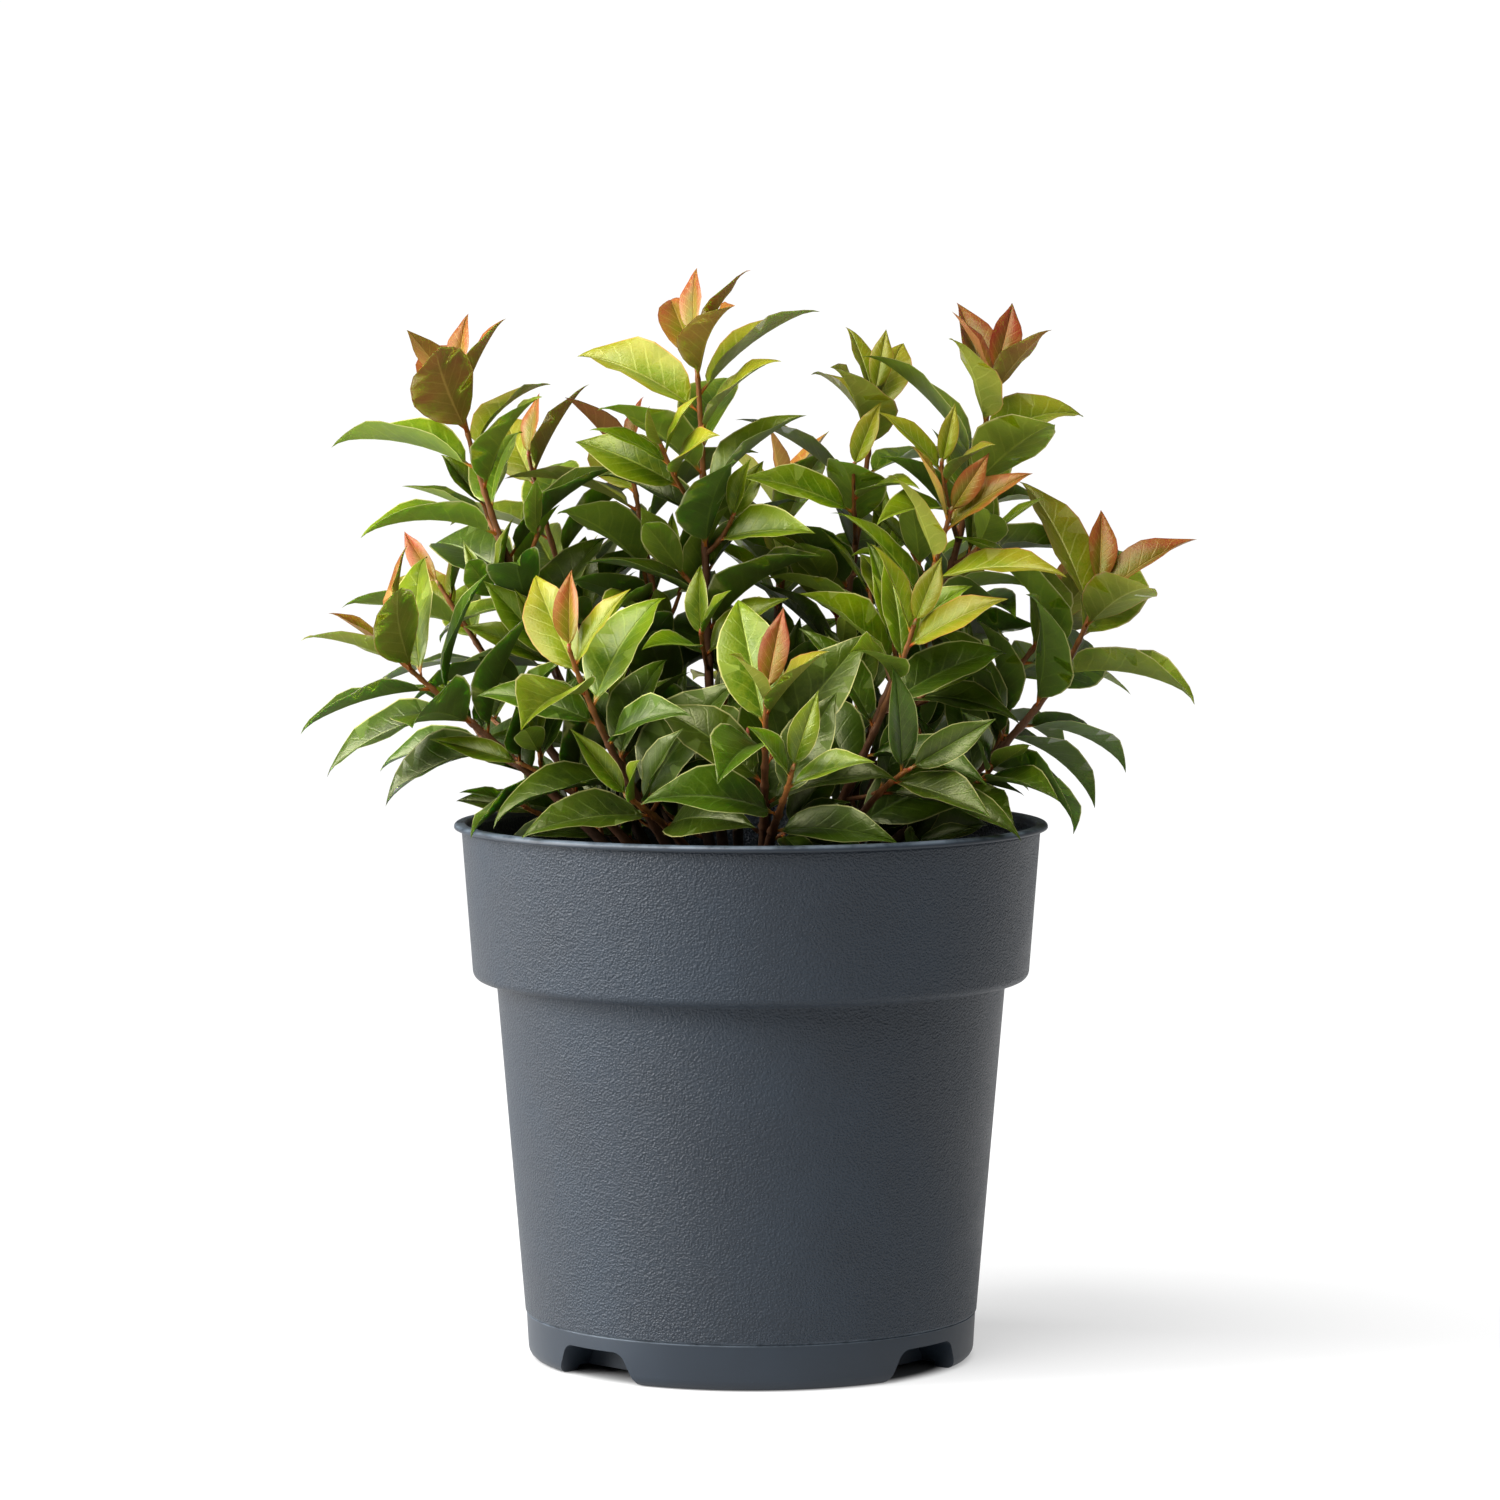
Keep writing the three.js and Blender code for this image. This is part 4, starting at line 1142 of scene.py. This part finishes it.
def leaf_places(leaf, guides):
    """A leaf's points in metres: a blade that is arched, folded, twisted and waved, on a round stalk."""
    across, side, share = guides
    fine = make_random(*FORM_SEEDS, leaf.seed)
    twist = between(fine, TWISTS) * (share - TWIST_MIDDLE)
    tip = np.clip((share - CURL_FROM) / (1 - CURL_FROM), 0, 1)
    curl = between(fine, CURLS) * leaf.length * CURL_REACH * tip ** 3
    waves = 2 * np.pi * (between(fine, WAVE_COUNTS) * share + between(fine, (0, 1)))
    arch = between(fine, ARCHES)
    stalk = np.clip((STALK_END - share) / STALK_FADE, 0, 1)[:, None]
    angle = (leaf.bend * share)[:, None]
    base, along, normal, aside = (np.array(v) for v in (leaf.base, leaf.along, leaf.normal, leaf.side))
    middle = base + (along * np.sin(angle) - normal * (1 - np.cos(angle))) / leaf.bend * leaf.length
    face = normal * np.cos(angle) + along * np.sin(angle)
    turned = np.cos(twist)[:, None] * aside + np.sin(twist)[:, None] * face
    face = np.cos(twist)[:, None] * face - np.sin(twist)[:, None] * aside
    narrowest = np.interp(share, (0, PETIOLE_SHARE, 1), (*STALK_RADII, 0))
    drawn_out = 1 - TIP_DRAW * np.clip((share - TIP_START) / (1 - TIP_START), 0, 1) ** 0.8
    half = np.maximum(leaf.half_width * blade_shape(share) * drawn_out, narrowest)
    rise = half * (sin(leaf.fold) * np.abs(across) - arch * across ** 2)
    rise += WAVE_HEIGHT * half * np.sin(waves + across) * across ** 2
    keel = MIDRIB_KEEL * np.sqrt(1 - share) * (across == 0) * (side < 0)
    blade = blended((BLADE_HALF_THICKNESS, MARGIN_HALF_THICKNESS), np.abs(across)) + keel
    round_stalk = narrowest * np.sqrt(np.clip(1 - across ** 2, 0, 1))
    thickness = blade[:, None] * (1 - stalk) + round_stalk[:, None] * stalk
    thickness *= (1 - share[:, None] ** 8)
    lift = (rise - curl)[:, None] * (1 - stalk) + side[:, None] * thickness
    return (middle + turned * (across * half * cos(leaf.fold))[:, None] + face * lift) * MM


def rod_template(sides, rings):
    shape = upright_cone(sides, 1)
    upright = [edge for edge in shape.edges if abs(edge.verts[0].co.z - edge.verts[1].co.z) > 0.5]
    bmesh.ops.subdivide_edges(shape, edges=upright, cuts=rings - 1, use_grid_fill=True)
    return mesh_from(shape, "rod_template")


def grow_rod(shape, template, limb, leaves, settings):
    """Bends a rod along a limb, thicker where each leaf leaves it, and marks its age from tip to foot."""
    age = shape.verts.layers.float["age"]
    own = [leaf.share for leaf in leaves if leaf.limb is limb]
    for vert in add_copy(shape, template):
        share = vert.co.z
        tangent = limb.curve.tangent(share)
        a, b = cross_axes(tangent)
        radius = limb_radius(limb, share)
        nearest = min((abs(share - place) * limb.curve.length for place in own), default=9)
        radius *= 1 + settings.swelling * math.exp(-(nearest / SWELLING_REACH) ** 2)
        point = limb.curve.point(share) + (a * vert.co.x + b * vert.co.y) * radius
        point += noise.noise_vector(point * BUMP_SCALE) * (BUMP_HEIGHT * radius)
        if limb.main:
            lowest = SOIL_TOP - STEM_SINK
            point.z = max(point.z, lowest) if share > 0 else lowest
        vert[age] = 1 - share if limb.main else TWIG_AGE * (1 - share)
        vert.co = point * MM


def bud_template():
    """A pointed bud along Z, its foot at the origin."""
    shape = bmesh.new()
    bmesh.ops.create_uvsphere(shape, u_segments=6, v_segments=5, radius=1)
    for vert in shape.verts:
        taper = 1 - 0.35 * max(0, vert.co.z)
        vert.co = Vector((vert.co.x * taper * 0.55, vert.co.y * taper * 0.55, vert.co.z + 0.7))
    return mesh_from(shape, "bud_template")


def place_bud(shape, template, point, direction, size):
    turn = UP.rotation_difference(direction).to_matrix().to_4x4()
    place = Matrix.Translation(point * MM) @ turn @ Matrix.Scale(size * MM, 4)
    bmesh.ops.transform(shape, verts=add_copy(shape, template), matrix=place)


# Operators


class LEUCOTHOE_OT_pot(bpy.types.Operator):
    """Make the round pot with its band, lip, grained wall and four drain notches"""

    bl_idname = "leucothoe.make_pot"
    bl_label = "Pot"

    def execute(self, context):
        pot = piece_from(spun(pot_profile(), POT_STEPS), "nursery_pot",
                         [plastic_material(context.scene.leucothoe_pot)], ["pot"])
        cutter = linked("notch_cutters", mesh_from(notch_cutters(), "notch_cutters"))
        cut = pot.modifiers.new("notches", "BOOLEAN")
        cut.object = cutter
        cut.operation = "DIFFERENCE"
        cut.solver = "MANIFOLD"
        context.view_layer.update()
        carved = bpy.data.meshes.new_from_object(pot.evaluated_get(context.evaluated_depsgraph_get()))
        pot.modifiers.clear()
        pot.data = carved
        carved.set_sharp_from_angle(angle=POT_SHARP_ANGLE)
        bpy.data.objects.remove(cutter)
        return {"FINISHED"}


class LEUCOTHOE_OT_soil(bpy.types.Operator):
    """Fill the pot with lumpy peat and strew crumbs on it"""

    bl_idname = "leucothoe.make_soil"
    bl_label = "Soil"

    def execute(self, context):
        settings = context.scene.leucothoe_soil
        edge = SOIL_HIGH.x / MM
        foot = BODY_BOTTOM_RADIUS - WALL - GAP
        wall = [
            (0, POT_FLOOR + GAP),
            (foot, POT_FLOOR + GAP),
            (BODY_TOP_RADIUS - WALL - GAP, BAND_BOTTOM + WALL),
            (BAND_BOTTOM_RADIUS - WALL - GAP, BAND_BOTTOM + 2.5 * WALL),
        ]
        top = [(edge * (1 - step / SOIL_RINGS), SOIL_TOP) for step in range(SOIL_RINGS + 1)]
        shape = spun(wall + top, SOIL_STEPS)
        for vert in shape.verts:
            if vert.co.z > SOIL_HIGH.z - 1e-5:
                vert.co.z += self.relief(vert.co, settings.relief)
        piece_from(shape, "peat", [peat_material(settings, "moist_peat", 1)], ["soil"])
        self.strew(settings, edge * MM)
        return {"FINISHED"}

    @staticmethod
    def relief(place, height):
        """How far the soil rises at a place: lumps over hollows, sunk a little at the wall."""
        rim = max(0, math.hypot(place.x, place.y) / SOIL_HIGH.x - SOIL_EDGE) * SOIL_EDGE_SLOPE
        flat = Vector((place.x, place.y, 0))
        lumps = noise.fractal(flat * SOIL_LUMPS, 1, 2, 5)
        return height * (lumps + 0.4 * noise.noise(flat * SOIL_GRAINS) - 0.35 - 0.4 * rim)

    def strew(self, settings, edge):
        chance = random.Random(CRUMB_SEED)
        lump = bmesh.new()
        bmesh.ops.create_icosphere(lump, subdivisions=2, radius=1)
        for vert in lump.verts:
            vert.co *= 1 + 0.45 * noise.noise(vert.co * 1.7 + Vector((3, 8, 5)))
        template = mesh_from(lump, "crumb_template")
        shape = bmesh.new()
        for _ in range(settings.crumbs):
            reach = (edge - CRUMB_ROOM * MM) * math.sqrt(chance.random())
            angle = chance.uniform(0, 2 * pi)
            place = Vector((reach * cos(angle), reach * sin(angle), SOIL_HIGH.z))
            size = MM * blended(CRUMB_SIZES, chance.random() ** 3)
            place.z += self.relief(place, settings.relief) + 0.25 * size
            squash = Matrix.Diagonal([size * chance.uniform(0.6, 1.5) for _ in range(3)]).to_4x4()
            turn = Matrix.Rotation(chance.uniform(0, 6), 4, Vector((chance.random(), chance.random(), 1)))
            matrix = Matrix.Translation(place) @ turn @ squash
            bmesh.ops.transform(shape, verts=add_copy(shape, template), matrix=matrix)
        piece_from(shape, "peat_crumbs", [peat_material(settings, "dry_peat", 1.5)])


class LEUCOTHOE_OT_stems(bpy.types.Operator):
    """Grow the stems and twigs, with a bud over each leaf and at each tip"""

    bl_idname = "leucothoe.grow_stems"
    bl_label = "Stems"

    def execute(self, context):
        settings = context.scene.leucothoe_stems
        limbs, leaves = grow_shrub()
        long_rod, short_rod = rod_template(*STEM_ROD), rod_template(*TWIG_ROD)
        shape = bmesh.new()
        shape.verts.layers.float.new("age")
        # The vector noise in grow_rod takes its seed from the clock unless it is given one.
        noise.seed_set(BUMP_SEED)
        for limb in limbs:
            grow_rod(shape, long_rod if limb.main else short_rod, limb, leaves, settings)
        piece_from(shape, "stems", [bark_material(settings)], nodes_named("cane_"))
        self.set_buds(limbs, leaves)
        return {"FINISHED"}

    @staticmethod
    def set_buds(limbs, leaves):
        template = bud_template()
        shape = bmesh.new()
        for leaf in leaves:
            tangent = leaf.limb.curve.tangent(leaf.share)
            reach = ROOT_SINK + limb_radius(leaf.limb, leaf.share) * 0.8
            point = leaf.base + leaf.along * reach + tangent * 0.9
            place_bud(shape, template, point, (tangent + leaf.along * 0.5).normalized(), LEAF_BUD)
        for limb in limbs:
            place_bud(shape, template, limb.curve.point(1), limb.curve.tangent(1), TIP_BUD)
        piece_from(shape, "buds", [bud_material()])


class LEUCOTHOE_OT_leaves(bpy.types.Operator):
    """Grow the leaves, each kind joined in a piece of its own"""

    bl_idname = "leucothoe.grow_leaves"
    bl_label = "Leaves"

    def execute(self, context):
        settings = context.scene.leucothoe_leaves
        leaves = grow_shrub()[1]
        template, guides = leaf_template()
        for kind in KINDS:
            shape = bmesh.new()
            tint = shape.verts.layers.float.new("tint")
            for leaf in [leaf for leaf in leaves if leaf.kind == kind]:
                for vert, place in zip(add_copy(shape, template), leaf_places(leaf, guides)):
                    vert.co = place
                    vert[tint] = leaf.tint
            materials = [leaf_material(kind, back, settings) for back in (False, True)]
            piece_from(shape, f"leaves_{kind}", materials, nodes_named("foliage_"), None)
        return {"FINISHED"}


class LEUCOTHOE_OT_studio(bpy.types.Operator):
    """Set the pale floor, the soft light and the photograph's camera"""

    bl_idname = "leucothoe.set_studio"
    bl_label = "Studio"

    def execute(self, context):
        settings = context.scene.leucothoe_studio
        self.lay_floor()
        self.light(settings)
        self.aim(context.scene, settings)
        return {"FINISHED"}

    @staticmethod
    def lay_floor():
        """A pale floor with some light of its own, with painted shade under the pot, where that light is
        turned off.
        """
        shape = bmesh.new()
        bmesh.ops.create_circle(shape, cap_ends=True, segments=96, radius=FLOOR_RADIUS)
        floor = linked("floor", mesh_from(shape, "floor"))
        material, pen, shader, place = new_material("white_floor")
        reach = pen.add("ShaderNodeVectorMath", {0: place}, operation="LENGTH").outputs["Value"]
        # Painted shade: the floor's own light fades out under the pot.
        lit = pen.fade(reach, RECESS_RADIUS * MM, (FOOT_RADIUS + 1) * MM)
        pen.fill(shader, {
            "Base Color": FLOOR_GREY,
            "Roughness": 0.9,
            "Specular IOR Level": 0.1,
            "Emission Color": pen.mix(lit, (0, 0, 0), (1, 1, 1)),
            "Emission Strength": FLOOR_GLOW,
        })
        floor.data.materials.append(material)

    def light(self, settings):
        world = bpy.data.worlds.new("white_room")
        world.use_nodes = True
        pen = Pen(world.node_tree)
        seen = pen.add("ShaderNodeLightPath").outputs["Is Camera Ray"]
        values = {"Factor": seen, "A": settings.ambient, "B": settings.backdrop}
        strength = pen.add("ShaderNodeMix", values).outputs[0]
        background = world.node_tree.nodes["Background"].inputs
        pen.fill(background, {"Color": (1, 1, 1), "Strength": strength})
        bpy.context.scene.world = world
        key = self.lamp("key_light", "SUN", settings.key, KEY_FROM)
        key.data.angle = settings.softness
        softbox = self.lamp("softbox", "AREA", settings.softbox, SOFTBOX_PLACE - CROWN_MIDDLE)
        softbox.data.size = SOFTBOX_SIZE
        softbox.location = SOFTBOX_PLACE

    @staticmethod
    def lamp(name, kind, energy, came_from):
        lamp = linked(name, bpy.data.lights.new(name, kind))
        lamp.data.energy = energy
        lamp.rotation_euler = came_from.to_track_quat("Z", "Y").to_euler()
        return lamp

    @staticmethod
    def aim(scene, settings):
        camera = linked("camera", bpy.data.cameras.new("camera"))
        camera.data.sensor_width = SENSOR
        camera.data.lens = SENSOR * VIEW_PIXELS / IMAGE_SIZE
        camera.data.clip_end = CLIP_END
        aside = (IMAGE_SIZE / 2 - POT_AXIS_PX) / VIEW_PIXELS * settings.distance
        camera.location = (aside, -settings.distance, settings.height)
        camera.rotation_euler = (pi / 2 - settings.pitch, 0, 0)
        scene.camera = camera
        scene.view_settings.view_transform = "Standard"


class LEUCOTHOE_PT_panel(bpy.types.Panel):
    """The pieces of the plant and its studio"""

    bl_idname = "LEUCOTHOE_PT_panel"
    bl_label = "Leucothoe"
    bl_space_type = "VIEW_3D"
    bl_region_type = "UI"
    bl_category = "Leucothoe"

    def draw(self, context):
        for operator in OPERATORS:
            self.layout.operator(operator.bl_idname)
        for name, group in SETTINGS.items():
            box = self.layout.box()
            for field in group.__annotations__:
                box.prop(getattr(context.scene, name), field)


OPERATORS = (
    LEUCOTHOE_OT_pot,
    LEUCOTHOE_OT_soil,
    LEUCOTHOE_OT_stems,
    LEUCOTHOE_OT_leaves,
    LEUCOTHOE_OT_studio,
)


def register():
    for group in (*SETTINGS.values(), *OPERATORS, LEUCOTHOE_PT_panel):
        bpy.utils.register_class(group)
    for name, group in SETTINGS.items():
        setattr(bpy.types.Scene, name, bpy.props.PointerProperty(type=group))


def unregister():
    for name in SETTINGS:
        delattr(bpy.types.Scene, name)
    for group in (LEUCOTHOE_PT_panel, *reversed(OPERATORS), *reversed(SETTINGS.values())):
        bpy.utils.unregister_class(group)


def main():
    register()
    bpy.ops.leucothoe.make_pot()
    bpy.ops.leucothoe.make_soil()
    bpy.ops.leucothoe.grow_stems()
    bpy.ops.leucothoe.grow_leaves()
    bpy.ops.leucothoe.set_studio()
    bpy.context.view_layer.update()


if __name__ == "__main__":
    main()
